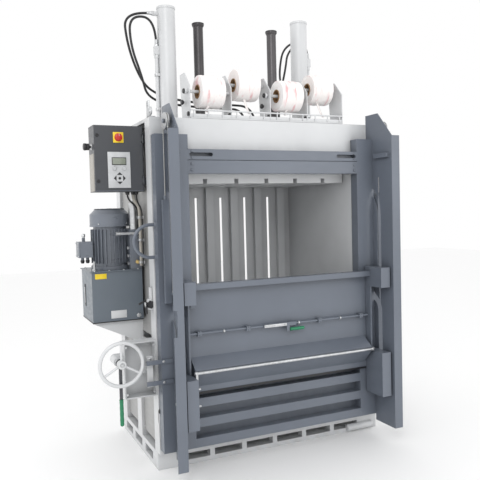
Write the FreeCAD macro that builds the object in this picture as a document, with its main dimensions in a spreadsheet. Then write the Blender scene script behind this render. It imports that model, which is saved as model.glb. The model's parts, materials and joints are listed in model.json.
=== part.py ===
"""Upright recycling baler with a swinging bale door, a rising loading door and a side power pack.

Millimetres. +X is to the machine's right, the doors face -Y and +Z is up. The floor is Z = 0 and
the machine is centred on X = 0. Places are written from the front face of the body, and put() moves
them so that the origin lies under the middle of the front sill.
"""
import math
import os
import re
import FreeCAD
import Part
import Sketcher

SIZES = {
    # body
    "body_width": 1610, "body_depth": 885, "body_height": 2130, "opening_width": 1195,
    "base_height": 110, "base_setback": 45, "sill_deep": 60, "sheet_wall": 6, "column_depth": 100,
    "floor_thick": 8, "top_thick": 20, "head_height": 192, "header_thick": 4,
    "rib_deep": 40, "rib_wide": 60, "panel_recess": 18, "cover_thick": 3,
    "cover_split": 810, "strap_slot": 18,
    # bale door
    "door_gap": 5, "frame_deep": 70, "door_bottom": 143, "door_top": 2023, "stile_outer": 800,
    "beam_gap": 3, "beam_slot_high": 22, "beam_slot_long": 150,
    "opening_top": 1793, "opening_bottom": 1120, "beam_split": 1875, "beam_top": 1938, "skin": 4,
    "channel_high": 55, "channel_pitch": 122, "hinge_off": 26, "hinge_pin": 16, "knuckle_across": 38,
    "fork_high": 40, "knuckle_long": 60, "hinge_first": 300, "hinge_pitch": 780, "handle_level": 1402,
    "handle_across": 190,
    "handle_tube": 20, "handle_reach": 35,
    # guard plates
    "guard_half": 723, "guard_deep": 283, "guard_thick": 4, "guard_bottom": 99, "guard_front_top": 2028,
    "guard_back_top": 2189, "guard_land": 138, "flange_wide": 58, "track_wide": 40, "track_back": 140,
    "relief_wide": 12, "bend_start": 436, "bend_upper": 200, "bend_lower": 90, "bend_turn": 48,
    "bend_run": 90, "notch_deep": 22, "notch_high": 150, "notch_bottom": 870, "stiffener_level": 1890,
    "stiffener_deep": 20,
    # loading door
    "lift": 650, "panel_gap": 8, "load_top": 1140, "load_bottom": 480, "panel_half": 640, "rail_deep": 55,
    "rail_high": 34, "side_clear": 12, "pin_across": 10, "pin_upper": 1104, "pin_lower": 450,
    "washer_across": 32, "washer_thick": 5, "rod_across": 18, "rod_level": 624, "rod_forward": 84,
    "hem_top": 700, "hem_low": 520, "shoe_front": 262, "shoe_upper_low": 1038, "shoe_upper_high": 131,
    "shoe_lower_low": 316, "shoe_lower_high": 292, "shoe_wall": 5,
    "latch_level": 843, "latch_forward": 26, "latch_across": 14, "clip_wide": 24, "lever_drop": 34,
    "grip_long": 105, "grip_across": 22,
    # counterweights
    "pulley_across": 90, "pulley_wide": 18, "pulley_level": 2085, "pulley_back": 145, "rope_across": 6,
    "weight_top": 1640, "weight_high": 600, "weight_wide": 40, "weight_deep": 30, "rope_out": 27,
    "anchor_thick": 6, "shackle_high": 24, "eye_across": 16, "eye_long": 12, "bolt_across": 16,
    # platen and drive
    "platen_low": 1740, "platen_high": 90, "platen_side": 8, "platen_front": 90, "platen_back": 60,
    "drive_half": 513, "drive_back": 517, "barrel_across": 122, "barrel_top": 2944,
    "barrel_low": 1980, "rod_thick": 60, "run_gap": 0.05, "guide_half": 284, "guide_across": 68,
    "guide_top": 2860, "guide_cap": 84, "bush_across": 110, "bush_high": 60,
    # strapping reels
    "reel_across": 203, "reel_wide": 150, "core_across": 84, "core_wall": 6, "reel_axle": 20,
    "reel_low": 2298, "reel_high": 2366, "reel_front": 40, "reel_rear": 110, "reel_pitch": 272,
    "rack_plate": 6, "rack_rail": 30, "rack_top": 2420, "knob_across": 34, "knob_long": 22,
    # control cabinet
    "cab_wide": 300, "cab_high": 390, "cab_deep": 155, "cab_front": 128, "cab_low": 1699, "cab_wall": 2,
    "cab_lid": 18, "knob_level": 1968, "knob_stem": 14, "switch_x": -961, "switch_z": 2019,
    "switch_stem": 10, "panel_x": -1028, "panel_z": 1721,
    # power pack
    "tank_wide": 316, "tank_high": 310, "tank_deep": 330, "tank_front": 265, "tank_low": 900,
    "motor_across": 210, "motor_high": 250, "fin_deep": 17, "cowl_across": 250, "cowl_high": 110,
    "foot_across": 250, "foot_thick": 22, "fin_thick": 4, "fin_count": 28, "cone_high": 34,
    "tank_lid": 6, "tank_lip": 8, "shelf_thick": 8, "shelf_drop": 40, "block_side": 70, "block_high": 250,
    "filter_across": 56, "filter_high": 165, "valve_x": 840, "valve_y": 305, "pivot_across": 10,
    # door lock
    "lock_low": 473, "lock_high": 807, "lock_reach": 195, "lock_deep": 90, "wheel_level": 706,
    "wheel_half": 1035, "wheel_across": 270, "wheel_rim": 22, "wheel_front": 70, "screw_across": 22,
    "arm_high": 26, "arm_thick": 6, "arm_upper": 695, "arm_lower": 573, "arm_reach": 92, "arm_land": 72,
    "clamp_half": 862, "clamp_wide": 34, "clamp_thick": 12, "clamp_back": 48, "clamp_low": 545,
    "clamp_high": 185, "stem_across": 18, "boss_across": 56, "sleeve_across": 34, "sleeve_proud": 4,
    "lever_thick": 10, "lever_long": 210, "lever_grip": 158, "lever_back": 30, "hub_across": 50,
    # hose ports
    "port_across": 30, "port_reach": 88, "port_upper": 2896, "port_lower": 2640, "port_elbow": 40,
    "elbow_side": 34,
    "hose_across": 16,
}

PLACES = {
    "origin_back": "base_setback + sill_deep / 2",
    "side": "body_width / 2",
    "inner": "opening_width / 2",
    "back": "body_depth",
    "roof": "body_height - top_thick",
    "door_back": "0 - door_gap",
    "door_front": "0 - door_gap - frame_deep",
    "load_half": "guard_half - side_clear",
    "rail_half": "panel_half + 1",
    "head_low": "body_height - head_height",
    "platen_top": "platen_low + platen_high",
    "cab_right": "0 - side",
    "lid_axis_x": "cab_right - 7",
    "lid_axis_y": "cab_front - 1",
    "tank_top": "tank_low + tank_high",
    "pack_x": "0 - side - tank_wide / 2",
    "pack_y": "tank_front + tank_deep / 2",
    "hinge_x": "stile_outer + hinge_off",
    "hinge_y": "0 - door_gap - frame_deep / 2",
    "rope_x": "guard_half + guard_thick + rope_out",
    "rope_rear": "0 - pulley_back + pulley_across / 2",
    "rope_front": "0 - pulley_back - pulley_across / 2",
}

# hose routes, from the port on the cylinder to the fitting on the roof
HOSES = {
    "hose_left_upper": [(-601, 517, 2896), (-805, 517, 2896), (-785, 515, 2675), (-700, 560, 2480),
                        (-590, 650, 2400), (-380, 660, 2350), (-60, 650, 2340), (205, 645, 2335),
                        (205, 645, 2160)],
    "hose_left_lower": [(-586, 517, 2680), (-586, 517, 2868), (-772, 500, 2862), (-768, 490, 2660),
                        (-700, 500, 2480), (-625, 625, 2345), (-380, 632, 2312), (-100, 620, 2306),
                        (110, 620, 2304), (110, 620, 2160)],
    "hose_right_upper": [(575.3, 579.3, 2896), (660, 664, 2896), (580, 810, 2810), (500, 700, 2650),
                         (450, 690, 2480), (430, 700, 2330), (430, 700, 2160)],
    "hose_right_lower": [(586, 517, 2680.4), (588, 522, 2835), (515, 755, 2835), (455, 725, 2630),
                         (420, 630, 2480), (330, 640, 2330), (330, 640, 2160)],
}

# how much of a hose's end run, and of a run between two bends, one bend may take
END_SHARE = 0.63
MID_SHARE = 0.45

doc = FreeCAD.newDocument("baler")
sheet = doc.addObject("Spreadsheet::Sheet", "Sizes")
for row, (alias, number) in enumerate(SIZES.items(), start=1):
    sheet.set("A%d" % row, alias)
    sheet.set("B%d" % row, str(number))
    sheet.setAlias("B%d" % row, alias)
doc.recompute()
nodes = []


def spelled(formula):
    """Write a formula out in the sheet's cells."""
    def cell(word):
        name = word.group()
        if name in PLACES:
            return "(" + spelled(PLACES[name]) + ")"
        return "Sizes." + name if name in SIZES else name
    return re.sub(r"[a-z][a-z_]*", cell, str(formula))


def bind(piece, **formulas):
    """Tie properties to the sheet."""
    for name, formula in formulas.items():
        piece.setExpression(name, spelled(formula))
    return piece


def put(piece, place):
    """Tie a piece's base point to the sheet, counted in Y from the body's front face."""
    across, along, up = place
    along = "%s - origin_back" % along
    for axis, formula in zip("xyz", (across, along, up)):
        piece.setExpression("Placement.Base." + axis, spelled(formula))
    return piece


def box(place, size):
    """A box from its low corner and its three sizes."""
    piece = doc.addObject("Part::Box", "Box")
    bind(piece, Length=size[0], Width=size[1], Height=size[2])
    return put(piece, place)


TURNS = {"x": FreeCAD.Rotation(FreeCAD.Vector(0, 1, 0), 90),
         "y": FreeCAD.Rotation(FreeCAD.Vector(1, 0, 0), -90),
         "z": FreeCAD.Rotation()}


def rod(place, axis, across, length):
    """A cylinder from the middle of its low end, along an axis."""
    piece = doc.addObject("Part::Cylinder", "Rod")
    piece.Placement = FreeCAD.Placement(FreeCAD.Vector(), TURNS[axis])
    bind(piece, Radius="(%s) / 2" % across, Height=length)
    return put(piece, place)


def cone(place, axis, across, end_across, length):
    """A cone from the middle of its low end, along an axis."""
    piece = doc.addObject("Part::Cone", "Cone")
    piece.Placement = FreeCAD.Placement(FreeCAD.Vector(), TURNS[axis])
    bind(piece, Radius1="(%s) / 2" % across, Radius2="(%s) / 2" % end_across, Height=length)
    return put(piece, place)


def ring(place, axis, across, thick):
    """A torus from its middle, round an axis."""
    piece = doc.addObject("Part::Torus", "Ring")
    piece.Placement = FreeCAD.Placement(FreeCAD.Vector(), TURNS[axis])
    bind(piece, Radius1="(%s) / 2" % across, Radius2="(%s) / 2" % thick)
    return put(piece, place)


def join(pieces):
    """Fuse pieces into one."""
    if len(pieces) == 1:
        return pieces[0]
    whole = doc.addObject("Part::MultiFuse", "Whole")
    whole.Shapes = pieces
    return whole


def group(pieces):
    """Solids of one sub-part that touch but stay separate."""
    together = doc.addObject("Part::Compound", "Group")
    together.Links = pieces
    return together


def cut(piece, tools):
    """Take tools away from a piece."""
    left = doc.addObject("Part::Cut", "Left")
    left.Base = piece
    left.Tool = join(tools)
    return left


def node(label, piece):
    """Name a sub-part, which names its file."""
    piece.Label = label
    nodes.append(piece)
    return piece


def outline(sketch, corners):
    """Draw a closed outline whose corners are tied to the sheet."""
    count = len(corners)
    first = sketch.GeometryCount
    values = [[sheet_value(part) for part in corner] for corner in corners]
    points = [FreeCAD.Vector(across, up, 0) for across, up in values]
    for index in range(count):
        sketch.addGeometry(Part.LineSegment(points[index], points[(index + 1) % count]), False)
    for index in range(count):
        following = first + (index + 1) % count
        sketch.addConstraint(Sketcher.Constraint("Coincident", first + index, 2, following, 1))
    for index, corner in enumerate(corners):
        for kind, formula, value in zip(("DistanceX", "DistanceY"), corner, values[index]):
            tie = sketch.addConstraint(Sketcher.Constraint(kind, -1, 1, first + index, 1, value))
            sketch.setExpression("Constraints[%d]" % tie, spelled(formula))


def sheet_value(formula):
    """The number that a formula gives now."""
    probe = str(formula)
    while re.search(r"[a-z]", probe):
        probe = re.sub(r"[a-z][a-z_]*", lambda word: "(%s)" % {**SIZES, **PLACES}[word.group()], probe)
    return float(FreeCAD.Units.Quantity(probe).Value)


def plate(plane, corners, thick, place):
    """A flat plate: its outline on one of the origin planes, padded."""
    body = doc.addObject("PartDesign::Body", "Body")
    sketch = body.newObject("Sketcher::SketchObject", "Sketch")
    support = [feature for feature in body.Origin.OriginFeatures if feature.Role == plane][0]
    sketch.AttachmentSupport = [(support, "")]
    sketch.MapMode = "FlatFace"
    outline(sketch, corners)
    pad = body.newObject("PartDesign::Pad", "Pad")
    pad.Profile = sketch
    bind(pad, Length=thick)
    return put(body, place)


# ---------------------------------------------------------------- body
def base_frame():
    """Welded base: a deep frame with a floor, open pockets in the front sill and side windows."""
    outer = box(("-side", "base_setback", 0), ("body_width", "body_depth - base_setback", "base_height"))
    hollow = box(("-side + sill_deep", "base_setback + sill_deep", "-1"),
                 ("body_width - 2 * sill_deep", "body_depth - base_setback - 2 * sill_deep",
                  "base_height - floor_thick + 1"))
    pockets = []
    for index in range(6):
        pockets.append(box(("-side + 150 + %d * 222" % index, "base_setback - 1", 30),
                           (190, "sill_deep + 2", 42)))
    for sign in ("-side - 1", "side - sill_deep - 1"):
        for start in (110, 360, 600):
            pockets.append(box((sign, "base_setback + %d" % start, 30), ("sill_deep + 2", 170, 50)))
    return node("base_frame", cut(outer, [hollow] + pockets))


def side_wall(label, low):
    """A side of the press: the chamber liner on three box columns with rails between them."""
    rise = "roof - base_height"
    column = "(side - inner)"
    starts = ("0", "(body_depth - column_depth) / 2", "body_depth - column_depth")
    pieces = [box((low, start, "base_height"), (column, "column_depth", rise)) for start in starts]
    left = low.startswith("0")
    liner_x = "0 - inner - sheet_wall" if left else "inner"
    pieces.append(box((liner_x, 0, "base_height"), ("sheet_wall", "body_depth", rise)))
    hollows = [box((low + " + sheet_wall", start + " + sheet_wall", "base_height + sheet_wall"),
                   (column + " - 2 * sheet_wall", "column_depth - 2 * sheet_wall",
                    rise + " - 2 * sheet_wall"))
               for start in starts]
    wall = cut(join(pieces), hollows)
    return node(label, wall if left else join([wall] + hinge_forks()))


def side_panels():
    """Light covers between the columns, set back from the outer faces, in an upper and a lower row."""
    bay = "(body_depth - 3 * column_depth) / 2"
    sheets = []
    for face in ("0 - side + panel_recess", "side - panel_recess - cover_thick"):
        for start in ("column_depth", "column_depth * 2 + " + bay):
            for low, high in (("base_height + 40", "cover_split - base_height - 80"),
                              ("cover_split", "roof - cover_split - 40")):
                sheets.append(box((face, start, low), ("cover_thick", bay, high)))
    return node("side_panels", join(sheets))


def back_wall():
    """The chamber's rear sheet with raised upright ribs and the strap slots between them."""
    rise = "head_low - base_height"
    sheet_piece = box(("-inner", "back - sheet_wall", "base_height"), ("opening_width", "sheet_wall", rise))
    ribs = []
    slots = []
    for index in range(6):
        start = "-inner + 60 + %d * (opening_width - 120 - rib_wide) / 5" % index
        ribs.append(box((start, "back - rib_deep", "base_height"), ("rib_wide", "rib_deep", rise)))
        if index < 5:
            middle = start + " + (opening_width - 120 - rib_wide) / 10 + rib_wide / 2"
            slots.append(box((middle + " - strap_slot / 2", "back - sheet_wall - 1", "base_height + 30"),
                             ("strap_slot", "sheet_wall + 2", "head_low - base_height - 300")))
    return node("back_wall", cut(join([sheet_piece] + ribs), slots))


def crosshead():
    """The roof plate, the deep beams that the cylinders hang between, and the front and rear covers."""
    roof_plate = box(("-side", 0, "roof"), ("body_width", "body_depth", "top_thick"))
    drop = "roof - head_low"
    beams = [box(("-inner", "drive_back %s" % place, "head_low"), ("opening_width", 20, drop))
             for place in ("- barrel_across / 2 - 30", "+ barrel_across / 2 + 10")]
    beams.append(box(("-inner", "back - 20", "head_low"), ("opening_width", 20, drop)))
    beams.append(box(("-inner", 0, "head_low"), ("opening_width", "header_thick", drop)))
    beams += [rod((points[-1][0], points[-1][1], "body_height"), "z", "port_across",
                  "%s - body_height" % points[-1][2]) for points in HOSES.values()]
    holes = [rod(("%s * drive_half" % sign, "drive_back", "roof - 1"), "z", "barrel_across", "top_thick + 2")
             for sign in ("-1", "1")]
    holes += [rod(("%s * guide_half" % sign, "drive_back", "roof - 1"), "z", "guide_across + 2",
                  "top_thick + 2") for sign in ("-1", "1")]
    return node("crosshead", cut(join([roof_plate] + beams), holes))


def press_cylinder(label, sign):
    """A press cylinder: barrel, roof flange and two hose ports, bored for its rod."""
    middle = "%s * drive_half" % sign
    barrel = rod((middle, "drive_back", "barrel_low"), "z", "barrel_across", "barrel_top - barrel_low")
    flange = rod((middle, "drive_back", "body_height"), "z", "barrel_across + 60", 26)
    port_x = "0 - drive_half - port_reach" if sign == "-1" else "drive_half"
    ports = [rod((port_x, "drive_back", "port_lower"), "x", "port_across", "port_reach"),
             box(("%s * (drive_half + port_reach - port_across / 2) - elbow_side / 2" % sign,
                  "drive_back - elbow_side / 2", "port_lower - elbow_side / 2"),
                 ("elbow_side", "elbow_side", "port_elbow + elbow_side / 2"))]
    if sign == "-1":
        ports.append(rod((port_x, "drive_back", "port_upper"), "x", "port_across", "port_reach"))
    else:
        slanted = rod((0, 0, 0), "x", "port_across", "port_reach")
        slanted.Placement = FreeCAD.Placement(FreeCAD.Vector(), FreeCAD.Rotation(
            FreeCAD.Vector(0, 0, 1), 45).multiply(TURNS["x"]))
        ports.append(put(slanted, (middle, "drive_back", "port_upper")))
    bore = rod((middle, "drive_back", "barrel_low - 1"), "z", "rod_thick + 2 * run_gap",
               "barrel_top - barrel_low - 24")
    return node(label, cut(join([barrel, flange] + ports), [bore]))


def guide_bushes():
    """The two bushes on the roof for the platen's guide rods."""
    shells = []
    bores = []
    for middle in ("0 - guide_half", "guide_half"):
        shells.append(rod((middle, "drive_back", "body_height"), "z", "bush_across", "bush_high"))
        shells.append(rod((middle, "drive_back", "body_height"), "z", "bush_across + 40", 12))
        bores.append(rod((middle, "drive_back", "body_height - 1"), "z", "guide_across + 2 * run_gap",
                         "bush_high + 2"))
    return node("guide_bushes", cut(join(shells), bores))


# ---------------------------------------------------------------- strapping reels
def reel_middle(index):
    return "(%d * reel_pitch) - 1.5 * reel_pitch" % index


def reel_centre(index):
    return ("reel_front", "reel_low") if index % 2 == 0 else ("reel_rear", "reel_high")


def reel_rack():
    """The rack on the roof: two rails, five side plates and an axle with an end knob for each reel."""
    long = "4 * reel_pitch + rack_plate"
    start = "-2 * reel_pitch - rack_plate / 2"
    rails = [box((start, place, "body_height"), (long, "rack_rail", "rack_rail")) for place in (10, 110)]
    corners = [("8", "body_height + 5"), ("150", "body_height + 5"), ("175", "rack_top"), ("95", "rack_top"),
               ("8", "reel_low + 30")]
    sides = [plate("YZ_Plane", corners, "rack_plate", (start + " + %d * reel_pitch" % index, 0, 0))
             for index in range(5)]
    axles = []
    for index in range(4):
        across, up = reel_centre(index)
        low = start + " + %d * reel_pitch" % index
        axles.append(rod((low + " - knob_long", across, up), "x", "reel_axle", "reel_pitch + knob_long"))
        axles.append(rod((low + " - knob_long", across, up), "x", "knob_across", "knob_long / 2"))
    return node("reel_rack", join(rails + sides + axles))


def reel(index):
    """One reel: tape wound on a board core, with the hub that turns on its axle."""
    across, up = reel_centre(index)
    start = reel_middle(index) + " - reel_wide / 2"
    tape = rod((start, across, up), "x", "reel_across", "reel_wide")
    core = rod((start + " - 4", across, up), "x", "core_across", "reel_wide + 8")
    hollow = rod((start + " - 5", across, up), "x", "core_across - 2 * core_wall", "reel_wide + 10")
    hub = cut(rod((reel_middle(index) + " - 8", across, up), "x", "core_across - core_wall", 16),
              [rod((reel_middle(index) + " - 9", across, up), "x", "reel_axle + 2 * run_gap", 18)])
    node("reel_%d" % (index + 1), join([cut(join([tape, core]), [hollow]), hub]))


# ---------------------------------------------------------------- control cabinet
def cabinet():
    """The switch cabinet: an open box, its hinged door and what the door carries."""
    left = "cab_right - cab_wide"
    shell = box((left, "cab_front + cab_lid", "cab_low"), ("cab_wide", "cab_deep - cab_lid", "cab_high"))
    hollow = box((left + " + cab_wall", "cab_front + cab_lid - 1", "cab_low + cab_wall"),
                 ("cab_wide - 2 * cab_wall", "cab_deep - cab_lid - cab_wall + 1", "cab_high - 2 * cab_wall"))
    knob_hole = rod((left + " - 1", "cab_front + cab_deep / 2", "knob_level"), "x", "knob_stem + 0.6",
                    "cab_wall + 2")
    rails = [box(("0 - side", "column_depth", "cab_low + %d" % level),
                 ("panel_recess", "(body_depth - 3 * column_depth) / 2", 40)) for level in (40, 310)]
    forks = []
    knuckles = []
    notches = []
    sockets = [rod(("lid_axis_x", "lid_axis_y", "cab_low - 1"), "z", "6 + 2 * run_gap", "cab_high + 2")]
    for level in (50, 300):
        low = "cab_low + %d" % level
        for fork_low in (low + " - 10.3", low + " + 30.3"):
            forks.append(rod(("lid_axis_x", "lid_axis_y", fork_low), "z", 12, 10))
            forks.append(box(("lid_axis_x + 2", "lid_axis_y", fork_low),
                             ("cab_right - lid_axis_x - 2", 30, 10)))
            notches.append(box(("cab_right - 16", "cab_front - 1", fork_low + " - 0.5"),
                               (16, "cab_lid + 2", 11)))
        forks.append(rod(("lid_axis_x", "lid_axis_y", low + " - 10"), "z", 6, 50))
        knuckles.append(cut(rod(("lid_axis_x", "lid_axis_y", low), "z", 12, 30),
                            [rod(("lid_axis_x", "lid_axis_y", low + " - 1"), "z", "6 + 2 * run_gap", 32)]))
    node("cabinet_box", join([cut(shell, [hollow, knob_hole])] + rails + forks))
    lid = box((left, "cab_front", "cab_low"), ("cab_wide - 6", "cab_lid - 1", "cab_high"))
    recess = box((left + " + 3", "cab_front + 3", "cab_low + 3"),
                 ("cab_wide - 12", "cab_lid", "cab_high - 6"))
    holes = [rod(("switch_x", "cab_front - 1", "switch_z"), "y", "switch_stem + 0.6", 8)]
    badge = cut(box(("switch_x - 30", "cab_front - 2", "switch_z - 30"), (60, 2, 60)),
                [rod(("switch_x", "cab_front - 3", "switch_z"), "y", "switch_stem + 0.6", 4)])
    node("cabinet_door", join([cut(lid, [recess] + holes + sockets + notches), badge] + knuckles))
    knob = join([rod((left + " - 46", "cab_front + cab_deep / 2", "knob_level"), "x", 40, 30),
                 rod((left + " - 16", "cab_front + cab_deep / 2", "knob_level"), "x", "knob_stem", 30),
                 rod((left + " + 14", "cab_front + cab_deep / 2", "knob_level"), "x", 20, 4)])
    node("stop_knob", knob)
    dial = join([rod(("switch_x", "cab_front - 20", "switch_z"), "y", 40, 17.7),
                 box(("switch_x - 6", "cab_front - 32", "switch_z - 20"), (12, 13, 40)),
                 rod(("switch_x", "cab_front - 4", "switch_z"), "y", "switch_stem", 16),
                 rod(("switch_x", "cab_front + 4", "switch_z"), "y", 20, 4)])
    node("main_switch", dial)
    panel = box(("panel_x", "cab_front - 4", "panel_z"), (133, 4, 211))
    wells = [rod(("panel_x + %d" % across, "cab_front - 5", "panel_z + %d" % up), "y", 24 + 0.6, 3)
             for across, up in ((38, 114), (96, 114))]
    wells.append(rod(("panel_x + 67", "cab_front - 5", "panel_z + 56"), "y", 78.6, 3))
    screen = box(("panel_x + 26", "cab_front - 6", "panel_z + 137"), (81, 3, 40))
    node("key_panel", join([cut(panel, wells), screen]))
    for label, across in (("key_left", 38), ("key_right", 96)):
        node(label, rod(("panel_x + %d" % across, "cab_front - 7", "panel_z + 114"), "y", 24, 3.7))
    pad = cut(rod(("panel_x + 67", "cab_front - 7", "panel_z + 56"), "y", 78, 3.7),
              [box(("panel_x + 65.5", "cab_front - 8", "panel_z + 10"), (3, 2, 92)),
               box(("panel_x + 20", "cab_front - 8", "panel_z + 54.5"), (92, 2, 3))])
    node("arrow_pad", pad)


# ---------------------------------------------------------------- power pack
def power_pack():
    """The oil tank on its shelf, with the motor, terminal box, valve block, filter and dipstick."""
    low_x = "0 - side - tank_wide"
    tank = [box((low_x, "tank_front", "tank_low"), ("tank_wide", "tank_deep", "tank_high")),
            box((low_x + " - tank_lip", "tank_front - tank_lip", "tank_top"),
                ("tank_wide + tank_lip", "tank_deep + 2 * tank_lip", "tank_lid"))]
    shelf = box((low_x, "tank_front", "tank_low - shelf_thick"), ("tank_wide", "tank_deep", "shelf_thick"))
    braces = []
    for place in ("tank_front + 20", "tank_front + tank_deep - 28"):
        braces.append(plate("XZ_Plane", [("0 - side", "tank_low - shelf_thick"),
                                         (low_x, "tank_low - shelf_thick"),
                                         ("0 - side", "tank_low - shelf_drop - 120")],
                            8, (0, place + " + 8", 0)))
    node("oil_tank", join(tank + [shelf] + braces))
    floor = "tank_top + tank_lid"
    foot = rod(("pack_x", "pack_y", floor), "z", "foot_across", "foot_thick")
    bolts = []
    for turn in range(0, 360, 60):
        bolts.append(rod(("pack_x + (foot_across / 2 - 14) * cos(%d deg)" % turn,
                          "pack_y + (foot_across / 2 - 14) * sin(%d deg)" % turn,
                          floor + " + foot_thick"), "z", 16, 10))
    core = rod(("pack_x", "pack_y", floor), "z", "motor_across", "motor_high + foot_thick")
    fins = []
    for index in range(int(SIZES["fin_count"] / 2)):
        turn = "(%d * 360 / fin_count) * 1 deg" % index
        fin = box((0, 0, 0), ("motor_across + 2 * fin_deep", "fin_thick", "motor_high - 36"))
        fin.Placement = FreeCAD.Placement(FreeCAD.Vector(), FreeCAD.Rotation(
            FreeCAD.Vector(0, 0, 1), index * 360.0 / SIZES["fin_count"]))
        put(fin, ("pack_x - (motor_across / 2 + fin_deep) * cos(%s) + fin_thick / 2 * sin(%s)" % (turn, turn),
                  "pack_y - (motor_across / 2 + fin_deep) * sin(%s) - fin_thick / 2 * cos(%s)" % (turn, turn),
                  floor + " + foot_thick + 18"))
        fins.append(fin)
    cowl_low = floor + " + foot_thick + motor_high"
    cowl = [rod(("pack_x", "pack_y", cowl_low), "z", "cowl_across", "cowl_high - cone_high"),
            cone(("pack_x", "pack_y", cowl_low + " + cowl_high - cone_high"), "z", "cowl_across",
                 "cowl_across - 2 * cone_high", "cone_high")]
    node("motor", join([foot, core] + fins + bolts + cowl))
    box_x = "pack_x - motor_across / 2 - fin_deep - 78"
    glands = [rod((box_x + " + %d" % across, "pack_y", "tank_top + %d" % up), "z", 20, 26)
              for across, up in ((20, 62), (52, 62), (30, 184))]
    node("terminal_box", join([box((box_x, "pack_y - 48", "tank_top + 86"), (78, 96, 100))] + glands))
    block = box(("0 - valve_x - block_side / 2", "valve_y - block_side / 2", floor),
                ("block_side", "block_side", "block_high"))
    pivot = rod(("0 - valve_x", "valve_y - block_side / 2 - 1", floor + " + block_high - 24"), "y",
                "pivot_across + 2 * run_gap", 31)
    node("valve_block", cut(block, [pivot]))
    fittings = [rod(("0 - valve_x", "valve_y", floor + " + block_high"), "z", "filter_across", "filter_high"),
                rod(("0 - valve_x", "valve_y", floor + " + block_high + filter_high"), "z", 26, 14)]
    lever = join([rod(("0 - valve_x", "valve_y - block_side / 2 - 12", floor + " + block_high - 24"), "y",
                      "pivot_across", 38),
                  box(("0 - valve_x - 96", "valve_y - block_side / 2 - 12", floor + " + block_high - 31"),
                      (122, 11, 14)),
                  rod(("0 - valve_x - 124", "valve_y - block_side / 2 - 6.5", floor + " + block_high - 24"),
                      "x", 24, 30)])
    node("valve_lever", lever)
    fittings += [rod((low_x + " + 26", "tank_front + 40", floor), "z", 26, 14),
                 rod((low_x + " + 26", "tank_front + 40", floor + " + 14"), "z", 12, 46)]
    node("oil_fittings", join(fittings))


# ---------------------------------------------------------------- door lock
def door_lock():
    """The lock on the body's side: bracket, handwheel on its screw, clamp bar and release lever."""
    left = "0 - side - lock_reach"
    shell = box((left, 15, "lock_low"), ("lock_reach", "lock_deep", "lock_high - lock_low"))
    hollow = box((left + " + 8", 14, "lock_low + 8"),
                 ("lock_reach - 16", "lock_deep - 8", "lock_high - lock_low - 16"))
    boss = rod(("0 - wheel_half", 5, "wheel_level"), "y", "boss_across", "lock_deep + 10")
    web = box(("0 - wheel_half", 15, "wheel_level - 28"),
              ("wheel_half - side - lock_reach + 8", "lock_deep", 56))
    guide = box(("0 - clamp_half - 22", 15, "clamp_low + clamp_high / 2 - 22"), (44, "lock_deep", 44))
    sleeve = rod(("0 - wheel_half", "0 - lever_back - lever_thick - sleeve_proud", "wheel_level"), "y",
                 "sleeve_across", "lever_back + lever_thick + sleeve_proud + 10")
    bores = [rod(("0 - wheel_half", "0 - lever_back - lever_thick - sleeve_proud - 1", "wheel_level"), "y",
                 "screw_across + 2 * run_gap", "lever_back + lever_thick + sleeve_proud + lock_deep + 17"),
             rod(("0 - clamp_half", 4, "clamp_low + clamp_high / 2"), "y", "stem_across + 2 * run_gap",
                 "lock_deep + 12")]
    node("lock_bracket", cut(join([cut(shell, [hollow]), boss, sleeve, web, guide]), bores))
    centre = ("0 - wheel_half", "0 - wheel_front", "wheel_level")
    rim = ring(centre, "y", "wheel_across - wheel_rim", "wheel_rim")
    spokes = []
    for turn in (90, 210, 330):
        spoke = rod((0, 0, 0), "x", 14, "(wheel_across - wheel_rim) / 2")
        spoke.Placement = FreeCAD.Placement(FreeCAD.Vector(), FreeCAD.Rotation(
            FreeCAD.Vector(0, 1, 0), 90 - turn))
        spokes.append(put(spoke, centre))
    hub = rod(("0 - wheel_half", "0 - wheel_front - 16", "wheel_level"), "y", "hub_across", 32)
    screw = rod(("0 - wheel_half", "0 - wheel_front + 16", "wheel_level"), "y", "screw_across",
                "wheel_front + lock_deep + 14")
    node("handwheel", group([join([rim, hub] + spokes), screw]))
    clamp = join([box(("0 - clamp_half - clamp_wide / 2", "0 - clamp_back", "clamp_low"),
                      ("clamp_wide", "clamp_thick", "clamp_high")),
                  rod(("0 - clamp_half", "0 - clamp_back", "clamp_low + clamp_high / 2"), "y", "stem_across",
                      "clamp_back + lock_deep + 5")])
    node("lock_clamp", clamp)
    lever_y = "0 - lever_back - lever_thick"
    collar = rod(("0 - wheel_half", lever_y, "wheel_level"), "y", "hub_across", "lever_thick")
    arm = box(("0 - wheel_half - 9", lever_y, "wheel_level - lever_long"), (18, "lever_thick", "lever_long"))
    bore = rod(("0 - wheel_half", lever_y + " - 1", "wheel_level"), "y", "sleeve_across + 2 * run_gap",
               "lever_thick + 2")
    node("lock_lever", cut(join([collar, arm]), [bore]))
    node("lever_grip", rod(("0 - wheel_half", lever_y + " + lever_thick / 2",
                            "wheel_level - lever_long - lever_grip"), "z", 24, "lever_grip"))


# ---------------------------------------------------------------- bale door
def stile(label, low):
    """One upright of the bale door, closed by the plate beside the opening."""
    width = "stile_outer - inner"
    shell = box((low, "door_front", "door_bottom"), (width, "frame_deep", "door_top - door_bottom"))
    hollow = box((low + " + skin", "door_front + skin", "door_bottom + skin"),
                 (width + " - 2 * skin", "frame_deep - 2 * skin", "door_top - door_bottom - 2 * skin"))
    wall = cut(shell, [hollow])
    return node(label, wall if low.startswith("0") else join([wall] + hinge_leaves()))


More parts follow.
